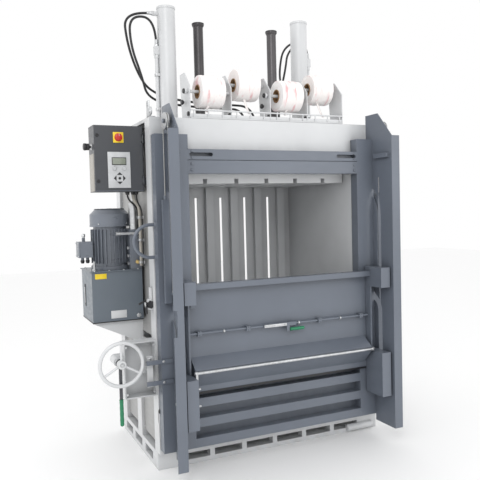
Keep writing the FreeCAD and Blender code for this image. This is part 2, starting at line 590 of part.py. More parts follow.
def beam(label, low, high, slotted):
    """A cross beam over the opening; the upper one has two long slots."""
    bar = box(("0 - inner", "door_front", low), ("opening_width", "frame_deep", high + " - " + low))
    if not slotted:
        return node(label, bar)
    slots = []
    middle = "(%s + %s) / 2" % (low, high)
    for start in ("0 - inner + 8", "inner - 8 - beam_slot_long"):
        slots.append(box((start + " + beam_slot_high / 2", "door_front - 1",
                          middle + " - beam_slot_high / 2"),
                         ("beam_slot_long - beam_slot_high", "frame_deep / 2", "beam_slot_high")))
        for end in (start + " + beam_slot_high / 2", start + " + beam_slot_long - beam_slot_high / 2"):
            slots.append(rod((end, "door_front - 1", middle), "y", "beam_slot_high", "frame_deep / 2"))
    return node(label, cut(bar, slots))


def lower_panel():
    """The bale door's lower skin with its stiffening channels."""
    skin = box(("0 - inner", "door_back - skin", "door_bottom"),
               ("opening_width", "skin", "opening_bottom - door_bottom"))
    pieces = [skin]
    for index in range(4):
        pieces.append(box(("0 - inner", "door_front", "door_bottom + %d * channel_pitch" % index),
                          ("opening_width", "frame_deep - skin", "channel_high")))
    for level in ("opening_bottom - channel_high", "opening_bottom - 4 * channel_high"):
        pieces.append(box(("0 - inner", "door_front", level),
                          ("opening_width", "frame_deep - skin", "channel_high")))
    return node("door_panel", join(pieces))


def track(level, radius, start):
    """The cutter of one roller track: a straight run, a bend towards the machine and its end."""
    through = "guard_thick + 2"
    half = "track_wide / 2"
    bend = level + " + bend_start"
    straight = box((start, "0 - track_back - " + half, level), (through, "track_wide", "bend_start"))
    foot = rod((start, "0 - track_back", level), "x", "track_wide", through)
    ring_piece = cut(rod((start, "0 - track_back + " + radius, bend), "x", "2 * %s + track_wide" % radius,
                         through),
                     [rod((start + " - 1", "0 - track_back + " + radius, bend), "x",
                          "2 * %s - track_wide" % radius, through + " + 2"),
                      box((start + " - 1", "0 - track_back - track_wide", bend + " - 2 * %s - 100" % radius),
                          (through + " + 2", "3 * %s + 200" % radius, "2 * %s + 100" % radius))])
    wedge = doc.addObject("Part::Box", "Wedge")
    bind(wedge, Length=through + " + 2", Width="2 * %s + 200" % radius, Height="2 * %s + 200" % radius)
    wedge.Placement = FreeCAD.Placement(FreeCAD.Vector(), FreeCAD.Rotation(FreeCAD.Vector(1, 0, 0),
                                                                         -SIZES["bend_turn"]))
    put(wedge, (start + " - 1", "0 - track_back + " + radius, bend))
    arc = cut(ring_piece, [wedge])
    run = doc.addObject("Part::Box", "Run")
    bind(run, Length=through, Width="track_wide", Height="bend_run")
    run.Placement = FreeCAD.Placement(FreeCAD.Vector(), FreeCAD.Rotation(FreeCAD.Vector(1, 0, 0),
                                                                       -SIZES["bend_turn"]))
    turn = "bend_turn * 1 deg"
    put(run, (start, "0 - track_back + %s - (%s + %s) * cos(%s)" % (radius, radius, half, turn),
              bend + " + (%s + %s) * sin(%s)" % (radius, half, turn)))
    relief = box((start, "0 - track_back - relief_wide / 2", level), (through, "relief_wide",
                                                                      "lift + track_wide / 2 + relief_wide"))
    return [straight, foot, arc, run, relief]


def guard(label, sign):
    """A side guard: an upright plate with two roller tracks, its front flange and a stiffener."""
    corners = [("door_front", "guard_bottom"), ("0 - guard_deep", "guard_bottom"),
               ("0 - guard_deep", "guard_front_top"), ("0 - guard_land", "guard_back_top"),
               ("door_back", "guard_back_top"), ("door_back", "door_top"), ("door_front", "door_top")]
    sheet_x = "guard_half" if sign > 0 else "0 - guard_half - guard_thick"
    sheet_piece = plate("YZ_Plane", corners, "guard_thick", (sheet_x, 0, 0))
    flange_x = "guard_half + guard_thick" if sign > 0 else "0 - guard_half - guard_thick - flange_wide"
    flange = box((flange_x, "0 - guard_deep", "guard_bottom"),
                 ("flange_wide", "guard_thick", "guard_front_top - guard_bottom"))
    stiff_x = "guard_half - stiffener_deep" if sign > 0 else "0 - guard_half"
    stiffener = box((stiff_x, "0 - guard_deep + 30", "stiffener_level"),
                    ("stiffener_deep", "guard_deep - 140", 30))
    start = sheet_x + " - 1"
    tools = track("pin_upper - track_wide / 2", "bend_upper", start)
    tools += track("pin_lower - track_wide / 2", "bend_lower", start)
    if sign < 0:
        tools.append(box((flange_x + " - 1", "0 - guard_deep - 1", "notch_bottom"),
                         ("notch_deep + 1", "guard_thick + 2", "notch_high")))
    axle_x = "guard_half + guard_thick" if sign > 0 else "0 - rope_x - pulley_wide"
    axle = rod((axle_x, "0 - pulley_back", "pulley_level"), "x", "bolt_across", "rope_out + pulley_wide")
    head_x = "rope_x + pulley_wide - 6" if sign > 0 else "0 - rope_x - pulley_wide"
    head = rod((head_x, "0 - pulley_back", "pulley_level"), "x", "bolt_across + 10", 6)
    return node(label, join([cut(join([sheet_piece, flange, stiffener]), tools), axle, head]))


def pulley(side_name, middle):
    """A grooved wheel on the bolt at the top of a guard plate."""
    wheel = rod((middle + " - pulley_wide / 2", "0 - pulley_back", "pulley_level"), "x",
                "pulley_across + 8", "pulley_wide")
    groove = cut(rod((middle + " - rope_across / 2 - 0.3", "0 - pulley_back", "pulley_level"), "x",
                     "pulley_across + 20", "rope_across + 0.6"),
                 [rod((middle + " - rope_across", "0 - pulley_back", "pulley_level"), "x",
                      "pulley_across - rope_across - 0.6", "2 * rope_across")])
    bore = rod((middle + " - pulley_wide", "0 - pulley_back", "pulley_level"), "x",
               "bolt_across + 2 * run_gap", "2 * pulley_wide")
    return node("pulley_" + side_name, cut(wheel, [groove, bore]))


def counterbalance():
    """The ropes over the two pulleys, in three stretches each, and the weights that hang on them."""
    bends = []
    door_runs = []
    weight_runs = []
    weights = []
    for middle in ("0 - rope_x", "rope_x"):
        loop = ring((middle, "0 - pulley_back", "pulley_level"), "x", "pulley_across", "rope_across")
        below = box((middle + " - rope_across", "0 - pulley_back - pulley_across",
                     "pulley_level - pulley_across"),
                    ("2 * rope_across", "2 * pulley_across", "pulley_across"))
        bends.append(cut(loop, [below]))
        door_runs.append(rod((middle, "rope_front", "pin_upper + eye_across / 2"), "z", "rope_across",
                             "pulley_level - pin_upper - eye_across / 2"))
        weight_runs.append(rod((middle, "rope_rear", "weight_top + shackle_high"), "z", "rope_across",
                               "pulley_level - weight_top - shackle_high"))
        weights.append(box((middle + " - weight_wide / 2", "rope_rear - weight_deep / 2",
                            "weight_top - weight_high"), ("weight_wide", "weight_deep", "weight_high")))
        weights.append(rod((middle, "rope_rear", "weight_top"), "z", 18, "shackle_high"))
    node("rope_bends", join(bends))
    node("door_ropes", join(door_runs))
    node("weight_ropes", join(weight_runs))
    node("weights", join(weights))


def door_arms():
    """The two arms that reach from the left upright to the lock."""
    return [box(("0 - stile_outer - arm_reach", "door_front - arm_thick", level + " - arm_high / 2"),
                ("arm_reach + arm_land", "arm_thick", "arm_high")) for level in ("arm_upper", "arm_lower")]


def pull_handle():
    """The bowed tube handle on the left upright, and the lock arms below it."""
    middle = ("0 - stile_outer - handle_reach", "hinge_y", "handle_level")
    loop = ring(middle, "y", "handle_across", "handle_tube")
    right = box(("0 - stile_outer - handle_reach", "hinge_y - handle_tube", "handle_level - handle_across"),
                ("handle_across", "2 * handle_tube", "2 * handle_across"))
    ends = [rod(("0 - stile_outer - handle_reach", "hinge_y", "handle_level %s handle_across / 2" % sign),
                "x", "handle_tube", "handle_reach") for sign in ("+", "-")]
    return node("door_fittings", join([cut(loop, [right])] + ends + door_arms()))


def hinge_forks():
    """The body's half of the three hinges: a fork at each, with the pin between its arms."""
    forks = []
    for index in range(3):
        level = "hinge_first + %d * hinge_pitch" % index
        for low in (level + " - knuckle_long / 2 - fork_high - 0.5", level + " + knuckle_long / 2 + 0.5"):
            forks.append(rod(("hinge_x", "hinge_y", low), "z", "knuckle_across", "fork_high"))
            forks.append(box(("hinge_x - 12", "hinge_y", low), (24, "30 - hinge_y", "fork_high")))
            forks.append(box(("side", 2, low), ("hinge_x + 12 - side", 60, "fork_high")))
        forks.append(rod(("hinge_x", "hinge_y", level + " - knuckle_long / 2 - fork_high"), "z", "hinge_pin",
                         "knuckle_long + 2 * fork_high"))
    return forks


def hinge_leaves():
    """The door's half of the three hinges: a bored knuckle on a leaf at each."""
    leaves = []
    bores = []
    for index in range(3):
        level = "hinge_first + %d * hinge_pitch" % index
        leaves.append(rod(("hinge_x", "hinge_y", level + " - knuckle_long / 2"), "z", "knuckle_across",
                          "knuckle_long"))
        leaves.append(box(("stile_outer", "hinge_y - 12", level + " - knuckle_long / 2"),
                          ("hinge_off", 24, "knuckle_long")))
        bores.append(rod(("hinge_x", "hinge_y", level + " - knuckle_long"), "z", "hinge_pin + 2 * run_gap",
                         "2 * knuckle_long"))
    return [cut(join(leaves), bores)]


# ---------------------------------------------------------------- loading door
def loading_panel():
    """The loading door: its sheet, the top rail, the hem along its foot and the latch clips."""
    back_y = "door_front - panel_gap - skin"
    sheet_piece = box(("0 - panel_half", back_y, "load_bottom"), ("2 * panel_half", "skin",
                                                                  "load_top - load_bottom"))
    rail = box(("0 - rail_half", back_y + " - rail_deep", "load_top - rail_high"),
               ("2 * rail_half", "rail_deep + skin", "rail_high"))
    under = box(("0 - rail_half + 6", back_y + " - rail_deep + 5", "load_top - rail_high - 1"),
                ("2 * rail_half - 12", "rail_deep - 5", "rail_high - 4"))
    corners = [(back_y, "hem_top"), (back_y + " - rod_forward", "rod_level + 14"),
               (back_y + " - rod_forward", "rod_level - 14"), (back_y, "hem_low")]
    hem = plate("YZ_Plane", corners, "2 * panel_half - 30", ("0 - panel_half + 15", 0, 0))
    clips = [box(("%d * panel_half / 10 - clip_wide / 2" % place, back_y + " - latch_forward - 14",
                  "latch_level - 14"), ("clip_wide", "latch_forward + 14", 28)) for place in (-9, -4, 4, 9)]
    bore = rod(("0 - panel_half", back_y + " - latch_forward", "latch_level"), "x",
               "latch_across + 2 * run_gap", "2 * panel_half")
    posts = box(("0 - panel_half + 15", back_y + " - 26", "load_top - rail_high - 110"), (30, 26, 110))
    return node("loading_panel", cut(join([sheet_piece, cut(rail, [under]), hem, posts] + clips), [bore]))


def shoes(side_name, sign):
    """One side's two guide shoes with their pins, washers and the rope's anchor."""
    low_x = "rail_half" if sign > 0 else "0 - load_half"
    width = "load_half - rail_half"
    back_y = "door_front - panel_gap"
    pieces = []
    for low, high, pin in (("shoe_upper_low", "shoe_upper_high", "pin_upper"),
                           ("shoe_lower_low", "shoe_lower_high", "pin_lower")):
        shell = box((low_x, "0 - shoe_front", low), (width, "shoe_front + " + back_y, high))
        hollow = box((low_x + " + shoe_wall", "0 - shoe_front + shoe_wall", low + " + shoe_wall"),
                     (width + " - 2 * shoe_wall", "shoe_front + %s - 2 * shoe_wall" % back_y,
                      high + " - 2 * shoe_wall"))
        pieces.append(cut(shell, [hollow]))
        reach = "guard_half + guard_thick + 1 + washer_thick - load_half + shoe_wall"
        pin_x = "load_half - shoe_wall" if sign > 0 else "0 - guard_half - guard_thick - 1 - washer_thick"
        pieces.append(rod((pin_x, "0 - track_back", pin), "x", "pin_across", reach))
        for wash_x in ("guard_half + guard_thick + 1", "load_half - 0.1"):
            thick = "washer_thick" if wash_x.startswith("guard") else "guard_half - load_half - 0.9"
            place = wash_x if sign > 0 else "0 - (%s) - (%s)" % (wash_x, thick)
            pieces.append(rod((place, "0 - track_back", pin), "x", "washer_across", thick))
    arm_x = "rail_half" if sign > 0 else "0 - rail_half - 11"
    pieces.append(box((arm_x, back_y + " - 60", "shoe_lower_low"),
                      (11, 60, "load_top - shoe_lower_low - rail_high")))
    plate_x = "guard_half + guard_thick + 1"
    if sign < 0:
        plate_x = "0 - guard_half - guard_thick - 1 - anchor_thick"
    pieces.append(box((plate_x, "rope_front - 10", "pin_upper - 13"),
                      ("anchor_thick", "washer_across / 2 + 50", 26)))
    eye_x = "guard_half + guard_thick + 1" if sign > 0 else "0 - rope_x - eye_long / 2"
    pieces.append(rod((eye_x, "rope_front", "pin_upper"), "x", "eye_across", "rope_out + eye_long / 2 - 1"))
    return node("guide_shoes_" + side_name, join(pieces))


def cross_rod():
    """The bright rod along the foot of the loading door with its hanging link at the left."""
    back_y = "door_front - panel_gap - skin"
    bar = rod(("0 - panel_half + 4", back_y + " - rod_forward - rod_across / 2", "rod_level"), "x",
              "rod_across",
              "2 * panel_half - 8")
    link = box(("0 - panel_half + 8", back_y + " - rod_forward - rod_across - 6", "rod_level - 210"),
               (14, 10, 216))
    pins = [rod(("0 - panel_half + 2", back_y + " - rod_forward - rod_across - 1",
                 "rod_level - %d" % drop), "x",
                12, 34) for drop in (90, 190)]
    return node("cross_rod", join([bar, link] + pins))


def latch():
    """The latch rod across the loading door with its lever and green grip."""
    back_y = "door_front - panel_gap - skin"
    axis_y = back_y + " - latch_forward"
    node("latch_rod", join([
        rod(("0 - panel_half + 2", axis_y, "latch_level"), "x", "latch_across", "2 * panel_half - 4"),
        box((-150, axis_y + " - 12", "latch_level - 11"), (230, 8, 22)),
        box((12, axis_y + " - 11", "latch_level - lever_drop - 12"), (22, 6, "lever_drop + 12"))]))
    node("latch_grip", rod((34, axis_y + " - 10", "latch_level - lever_drop"), "x",
                           "grip_across", "grip_long"))


# ---------------------------------------------------------------- platen
def platen():
    """The pressing plate with strap grooves under it, and the pads that its rods stand on."""
    plate_piece = box(("0 - inner + platen_side", "platen_front", "platen_low"),
                      ("opening_width - 2 * platen_side", "body_depth - platen_front - platen_back",
                       "platen_high"))
    grooves = [box(("0 - inner + 60 + (%d + 0.5) * (opening_width - 120) / 5 - 14" % index,
                    "platen_front - 1",
                    "platen_low - 1"), (28, "body_depth", 31)) for index in range(5)]
    return node("platen", cut(plate_piece, grooves))


def press_rods():
    """The two piston rods and the two guide rods that stand on the platen."""
    rods = []
    for sign in ("-1", "1"):
        rods.append(rod((sign + " * drive_half", "drive_back", "platen_top"), "z", "rod_thick",
                        "barrel_top - 40 - platen_top"))
        middle = sign + " * guide_half"
        rods.append(join([
            rod((middle, "drive_back", "platen_top"), "z", "guide_across", "guide_top - platen_top"),
            cone((middle, "drive_back", "guide_top - 28"), "z", "guide_across", "guide_cap", 14),
            rod((middle, "drive_back", "guide_top - 14"), "z", "guide_cap", 14)]))
    node("piston_rods", join([rods[0], rods[2]]))
    node("guide_rods", join([rods[1], rods[3]]))


# ---------------------------------------------------------------- hydraulic hoses
def hose(label, points):
    """A hose: straight runs joined by tangent arcs, swept with the hose's round section."""
    radius = sheet_value("hose_across / 2")
    shift = FreeCAD.Vector(0, sheet_value("origin_back"), 0)
    corners = [FreeCAD.Vector(*point) - shift for point in points]
    edges = []
    start = corners[0]
    radii = []
    runs = [(after - before).Length for before, after in zip(corners, corners[1:])]
    rooms = [END_SHARE * runs[0]] + [MID_SHARE * run for run in runs[1:-1]] + [END_SHARE * runs[-1]]
    for index, (before, corner, after) in enumerate(zip(corners, corners[1:], corners[2:])):
        inward = (before - corner).normalize()
        onward = (after - corner).normalize()
        reach = min(rooms[index], rooms[index + 1])
        half_turn = (math.pi - inward.getAngle(onward)) / 2
        radii.append(reach / math.tan(half_turn))
        first = corner + inward * reach
        last = corner + onward * reach
        centre = corner + (inward + onward).normalize() * (reach / math.sin(half_turn))
        middle = centre + (corner - centre).normalize() * radii[-1]
        edges.append(Part.LineSegment(start, first).toShape())
        edges.append(Part.Arc(first, middle, last).toShape())
        start = last
    edges.append(Part.LineSegment(start, corners[-1]).toShape())
    path = Part.Wire(edges)
    section = Part.Wire(Part.Circle(corners[0], corners[1] - corners[0], radius).toShape())
    tube = path.makePipeShell([section], True, True)
    expected = math.pi * radius ** 2 * path.Length
    print("%s: radii %s mm, volume %.4f of section times length" % (
        label, " ".join("%.0f" % value for value in radii), tube.Volume / expected))
    if min(radii) < 10 * radius or abs(tube.Volume / expected - 1) > 0.02:
        raise SystemExit("%s bends too tightly" % label)
    piece = doc.addObject("Part::Feature", "Hose")
    piece.Shape = tube
    return node(label, piece)


def build():
    """Make every sub-part."""
    base_frame()
    side_wall("side_wall_left", "0 - side")
    side_wall("side_wall_right", "inner")
    side_panels()
    back_wall()
    crosshead()
    press_cylinder("cylinder_left", "-1")
    press_cylinder("cylinder_right", "1")
    guide_bushes()
    reel_rack()
    for index in range(4):
        reel(index)
    cabinet()
    power_pack()
    door_lock()
    stile("stile_left", "0 - stile_outer")
    stile("stile_right", "inner")
    beam("beam_lower", "opening_top", "(beam_split - beam_gap)", False)
    beam("beam_upper", "beam_split", "beam_top", True)
    lower_panel()
    guard("guard_left", -1)
    guard("guard_right", 1)
    pulley("left", "0 - rope_x")
    pulley("right", "rope_x")
    counterbalance()
    pull_handle()
    loading_panel()
    shoes("left", -1)
    shoes("right", 1)
    cross_rod()
    latch()
    platen()
    press_rods()
    for label, points in HOSES.items():
        hose(label, points)


build()
doc.recompute()
faults = []
for piece in doc.Objects:
    if "Invalid" in piece.State or "Error" in piece.State:
        faults.append("%s %s" % (piece.Label, piece.State))
for piece in nodes:
    if piece.Shape.isNull() or not piece.Shape.isValid() or not piece.Shape.Solids:
        faults.append("%s has no sound solid" % piece.Label)
if faults:
    raise SystemExit("\n".join(faults))
os.makedirs("parts", exist_ok=True)
for piece in nodes:
    piece.Shape.exportStep("parts/%s.step" % piece.Label)
print(len(nodes), "nodes")
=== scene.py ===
"""The looks of the recycling baler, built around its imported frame.

Places are written as the part's source writes them, in millimetres: right of the machine's middle,
behind the body's front face and above the floor. spot() turns them into the frame's metres.
"""
import json
import math

import bmesh
import bpy
from mathutils import Matrix, Vector


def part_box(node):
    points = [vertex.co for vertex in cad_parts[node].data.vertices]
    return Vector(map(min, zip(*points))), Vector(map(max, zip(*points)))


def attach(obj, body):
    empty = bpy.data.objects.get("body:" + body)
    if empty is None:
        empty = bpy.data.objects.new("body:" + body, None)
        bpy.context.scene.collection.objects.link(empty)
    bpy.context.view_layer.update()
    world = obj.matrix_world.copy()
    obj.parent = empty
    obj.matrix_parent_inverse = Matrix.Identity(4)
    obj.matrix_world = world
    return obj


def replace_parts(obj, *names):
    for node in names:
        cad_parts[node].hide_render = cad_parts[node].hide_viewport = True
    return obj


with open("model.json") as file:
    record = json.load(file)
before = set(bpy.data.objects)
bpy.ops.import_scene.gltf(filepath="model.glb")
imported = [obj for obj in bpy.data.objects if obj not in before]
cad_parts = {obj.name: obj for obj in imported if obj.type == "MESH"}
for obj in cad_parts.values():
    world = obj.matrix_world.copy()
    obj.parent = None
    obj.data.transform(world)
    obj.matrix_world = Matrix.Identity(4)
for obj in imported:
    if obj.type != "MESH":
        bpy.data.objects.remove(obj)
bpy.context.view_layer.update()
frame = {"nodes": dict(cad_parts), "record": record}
base_low, base_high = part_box("base_frame")
MIDDLE = (base_low[0] + base_high[0]) / 2
BODY_DEPTH = 0.885
FRONT = base_high[1] - BODY_DEPTH
AXES = {"x": Vector((1, 0, 0)), "y": Vector((0, 1, 0)), "z": Vector((0, 0, 1)),
        "-x": Vector((-1, 0, 0)), "-y": Vector((0, -1, 0)), "-z": Vector((0, 0, -1))}


def spot(across, behind, up):
    """A place in millimetres as a point of the frame."""
    return Vector((MIDDLE + across / 1000, FRONT + behind / 1000, up / 1000))


def link(made):
    """Puts an object into the scene."""
    bpy.context.scene.collection.objects.link(made)


# places that several pieces share, in millimetres as in the part's source
CYLINDERS = (("cylinder_left", -513), ("cylinder_right", 513))
DRIVE_BACK = 517
ROOF = 2130
REEL_PITCH = 272
REELS = [(REEL_PITCH * (index - 1.5), (40, 2298) if index % 2 == 0 else (110, 2366)) for index in range(4)]
HINGE = (826, -40)
HINGE_LEVELS = [300 + 780 * index for index in range(3)]
STILE_INSIDE = 597.5
ROLLER_BACK = -140
LATCH = (-113, 843)
CLIP_PITCH = 64
SWITCH = (-961, 2019)
ARROW_PAD = (-961, 1777)
KEY_LEVEL = 1835
SIDE_KNOB = (205.5, 1968)
PACK = (-963, 430)
VALVE = (-840, 305)
WHEEL = (-1035, 706)
SIDE_STOP = (-818, 50, 1017)


# ---------------------------------------------------------------- camera, stage and light
CAMERA_PLACE = (-1842, -3528, 1571)
CAMERA_LENS = 46.3


def make_camera():
    """The camera, from its place, its heading, its tilt and its roll."""
    heading = math.radians(-24.4)
    tilt = math.radians(2.8)
    roll = math.radians(-1.5)
    back = Vector((math.sin(heading) * math.cos(tilt), -math.cos(heading) * math.cos(tilt), math.sin(tilt)))
    right = Vector((math.cos(heading), math.sin(heading), 0))
    up = back.cross(right)
    rolled_right = math.cos(roll) * right + math.sin(roll) * up
    rolled_up = math.cos(roll) * up - math.sin(roll) * right
    data = bpy.data.cameras.new("camera")
    data.lens = CAMERA_LENS
    data.sensor_width = 36
    data.clip_end = 60
    camera = bpy.data.objects.new("camera", data)
    turn = Matrix((rolled_right, rolled_up, back)).transposed().to_4x4()
    camera.matrix_world = Matrix.Translation(spot(*CAMERA_PLACE)) @ turn
    link(camera)
    bpy.context.scene.camera = camera


def area_light(name, place, target, power, size):
    """A soft square light that faces a target."""
    data = bpy.data.lights.new(name, "AREA")
    data.energy = power
    data.size = size
    lamp = bpy.data.objects.new(name, data)
    lamp.location = place
    lamp.rotation_euler = (Vector(target) - Vector(place)).to_track_quat("-Z", "Y").to_euler()
    link(lamp)


def make_stage():
    """A plain pale floor, a white surround and three soft lights."""
    world = bpy.data.worlds.new("surround")
    world.use_nodes = True
    world.node_tree.nodes["Background"].inputs["Color"].default_value = (1.0, 1.0, 1.0, 1)
    world.node_tree.nodes["Background"].inputs["Strength"].default_value = 1.0
    bpy.context.scene.world = world
    bpy.context.scene.view_settings.view_transform = "Standard"
    area_light("key_light", (-2.6, -4.2, 4.2), (0, 0.2, 1.2), 62, 2.2)
    area_light("side_light", (-4.6, 0.8, 3.0), (-0.8, 0.3, 1.2), 20, 2.0)
    area_light("front_light", (2.6, -4.0, 2.4), (0.2, 0, 1.2), 22, 2.2)
    mesh = bpy.data.meshes.new("floor")
    reach = 14
    mesh.from_pydata([(-reach, -reach, 0), (reach, -reach, 0), (reach, reach, 0), (-reach, reach, 0)], [],
                     [(0, 1, 2, 3)])
    floor = bpy.data.objects.new("floor", mesh)
    link(floor)
    material = bpy.data.materials.new("floor_paint")
    material.use_nodes = True
    shader = material.node_tree.nodes["Principled BSDF"]
    shader.inputs["Base Color"].default_value = (0.96, 0.96, 0.96, 1)
    shader.inputs["Roughness"].default_value = 0.8
    mesh.materials.append(material)


# ---------------------------------------------------------------- finishes
class Finish:
    """A material under construction: its nodes, and the colour, roughness and relief that feed the shader."""

    def __init__(self, name, rough, metal=0.0):
        self.material = bpy.data.materials.new(name)
        self.material.use_nodes = True
        self.tree = self.material.node_tree
        self.shader = self.tree.nodes["Principled BSDF"]
        self.shader.inputs["Metallic"].default_value = metal
        self.shader.inputs["Roughness"].default_value = rough
        self.place = self.node("ShaderNodeTexCoord").outputs["Object"]

    def node(self, kind, inputs=None, **settings):
        """A node with its settings made and its inputs set or linked."""
        made = self.tree.nodes.new(kind)
        for key, value in settings.items():
            setattr(made, key, value)
        for key, value in (inputs or {}).items():
            if isinstance(value, bpy.types.NodeSocket):
                self.tree.links.new(value, made.inputs[key])
            else:
                made.inputs[key].default_value = value
        return made

    def noise(self, scale, detail=3.0, stretch=(1, 1, 1), rough=0.5):
        """Cloudy values from 0 to 1 over the object, stretched along its axes."""
        mapped = self.node("ShaderNodeMapping", {"Vector": self.place, "Scale": stretch}).outputs[0]
        return self.node("ShaderNodeTexNoise", {"Vector": mapped, "Scale": scale, "Detail": detail,
                                                "Roughness": rough}).outputs["Fac"]

    def waves(self, scale, direction, distort=0.0, stretch=(1, 1, 1)):
        """Even bands along an axis."""
        mapped = self.node("ShaderNodeMapping", {"Vector": self.place, "Scale": stretch}).outputs[0]
        return self.node("ShaderNodeTexWave", {"Vector": mapped, "Scale": scale, "Distortion": distort,
                                               "Detail": 2.0}, wave_type="BANDS",
                         bands_direction=direction).outputs["Fac"]

    def span(self, value, low, high, out_low=0.0, out_high=1.0):
        """The value stretched from one range to another, and kept inside it."""
        return self.node("ShaderNodeMapRange", {"Value": value, "From Min": low, "From Max": high,
                                                "To Min": out_low, "To Max": out_high}).outputs["Result"]

    def math(self, operation, first, second=0.0):
        """One sum on two values."""
        return self.node("ShaderNodeMath", {0: first, 1: second}, operation=operation).outputs[0]

    def mix(self, share, first, second):
        """Two colours mixed by a share."""
        made = self.node("ShaderNodeMix", {"Factor": share, "A": spelled(first), "B": spelled(second)},
                         data_type="RGBA")
        return made.outputs["Result"]

    def relief(self, height, strength, depth=0.001, normal=None):
        """A bumped surface."""
        inputs = {"Height": height, "Strength": strength, "Distance": depth}
        if normal is not None:
            inputs["Normal"] = normal
        return self.node("ShaderNodeBump", inputs).outputs["Normal"]

    def edges(self, radius):
        """A softened normal at hard edges, and how far each spot is on one, from 0 to 1."""
        soft = self.node("ShaderNodeBevel", {"Radius": radius}, samples=4).outputs["Normal"]
        hard = self.node("ShaderNodeNewGeometry").outputs["Normal"]
        facing = self.node("ShaderNodeVectorMath", {0: soft, 1: hard}, operation="DOT_PRODUCT")
        return soft, self.span(facing.outputs["Value"], 0.995, 0.80)

    def shut_in(self, reach):
        """How much each spot is closed in by what is near it, from 0 to 1."""
        open_share = self.node("ShaderNodeAmbientOcclusion", {"Distance": reach}, samples=4).outputs["AO"]
        return self.math("SUBTRACT", 1.0, open_share)

    def done(self, colour, normal=None, rough=None):
        """The finished material."""
        self.tree.links.new(colour, self.shader.inputs["Base Color"])
        if normal is not None:
            self.tree.links.new(normal, self.shader.inputs["Normal"])
        if rough is not None:
            self.tree.links.new(rough, self.shader.inputs["Roughness"])
        return self.material


def spelled(colour):
    """A colour of three numbers with its fourth, or a socket as it is."""
    return colour if isinstance(colour, bpy.types.NodeSocket) else (*colour, 1.0)


def scaled(colour, share):
    """A colour made lighter or darker."""
    return tuple(min(1.0, value * share) for value in colour)


def paint(name, colour, rough, worn, shade_and_dirt=0.35, peel=0.10, wear=0.5, gloss=0.3, below=None):
    """Powder-coated steel: cloudy colour, fine orange peel, worn edges, and painted shade mixed with streaky
    dirt where it is shut in.

    Where below gives a height and a colour, all that is lower than the height has that colour.
    """
    finish = Finish(name, rough)
    cloud = finish.span(finish.noise(2.6, 4.0), 0.3, 0.7)
    colour_now = finish.mix(cloud, scaled(colour, 0.94), scaled(colour, 1.06))
    if below:
        height, low_colour = below
        level = finish.node("ShaderNodeSeparateXYZ", {"Vector": finish.place}).outputs["Z"]
        colour_now = finish.mix(finish.math("LESS_THAN", level, height), colour_now, low_colour)
    soft, edge = finish.edges(0.0025)
    patches = finish.span(finish.noise(38.0, 4.0, rough=0.65), 0.46, 0.64)
    worn_share = finish.math("MULTIPLY", finish.math("MULTIPLY", edge, patches), wear)
    colour_now = finish.mix(worn_share, colour_now, worn)
    # painted shade: the colour is darkened where the surface is shut in by what is near it, broken into
    # streaks that stand for dirt
    streaks = finish.span(finish.noise(9.0, 4.0, stretch=(1, 1, 0.25)), 0.35, 0.75, 0.35, 1.0)
    painted_shade_and_dirt = finish.math("MULTIPLY", finish.math("MULTIPLY", finish.shut_in(0.07), streaks), shade_and_dirt)
    colour_now = finish.mix(painted_shade_and_dirt, colour_now, scaled(colour, 0.30))
    scuffs = finish.span(finish.noise(14.0, 5.0, stretch=(1, 1, 3)), 0.3, 0.7, rough - 0.07, rough + 0.10)
    peeled = finish.relief(finish.noise(420.0, 2.0), peel, 0.0004, soft)
    finish.shader.inputs["Coat Weight"].default_value = gloss
    finish.shader.inputs["Coat Roughness"].default_value = 0.25
    return finish.done(colour_now, peeled, scuffs)


def metal(name, colour, rough, grain=(1, 1, 30), spangle=0.0, strength=0.12):
    """Bare or plated metal with brushed grain, spangles where it is zinc plated, and a painted highlight
    along its edges.
    """
    finish = Finish(name, rough, 1.0)
    cloud = finish.span(finish.noise(7.0, 4.0), 0.3, 0.7)
    colour_now = finish.mix(cloud, scaled(colour, 0.86), scaled(colour, 1.08))
    if spangle:
        cells = finish.node("ShaderNodeTexVoronoi", {"Vector": finish.place, "Scale": 90.0}).outputs["Color"]
        shade = finish.node("ShaderNodeSeparateColor", {"Color": cells}).outputs["Red"]
        colour_now = finish.mix(finish.math("MULTIPLY", shade, spangle), colour_now, scaled(colour, 0.6))
    soft, edge = finish.edges(0.0012)
    # painted highlight: all edges are made lighter, as if they caught the light
    colour_now = finish.mix(finish.math("MULTIPLY", edge, 0.35), colour_now, scaled(colour, 1.3))
    brushed = finish.noise(120.0, 3.0, stretch=grain)
    rough_now = finish.span(brushed, 0.3, 0.7, rough - 0.08, rough + 0.12)
    return finish.done(colour_now, finish.relief(brushed, strength, 0.0004, soft), rough_now)


def plastic(name, colour, rough, grain=500.0, strength=0.12, gloss=0.0):
    """Moulded plastic with a fine eroded grain, and softly rounded edges painted lighter as a highlight."""
    finish = Finish(name, rough)
    cloud = finish.span(finish.noise(20.0, 3.0), 0.3, 0.7)
    colour_now = finish.mix(cloud, scaled(colour, 0.9), scaled(colour, 1.1))
    soft, edge = finish.edges(0.001)
    # painted highlight: all edges are made lighter, as if they caught the light
    colour_now = finish.mix(finish.math("MULTIPLY", edge, 0.3), colour_now, scaled(colour, 1.7))
    finish.shader.inputs["Coat Weight"].default_value = gloss
    finish.shader.inputs["Coat Roughness"].default_value = 0.15
    rough_now = finish.span(finish.noise(45.0, 3.0), 0.3, 0.7, rough - 0.05, rough + 0.08)
    return finish.done(colour_now, finish.relief(finish.noise(grain, 2.0), strength, 0.0003, soft), rough_now)


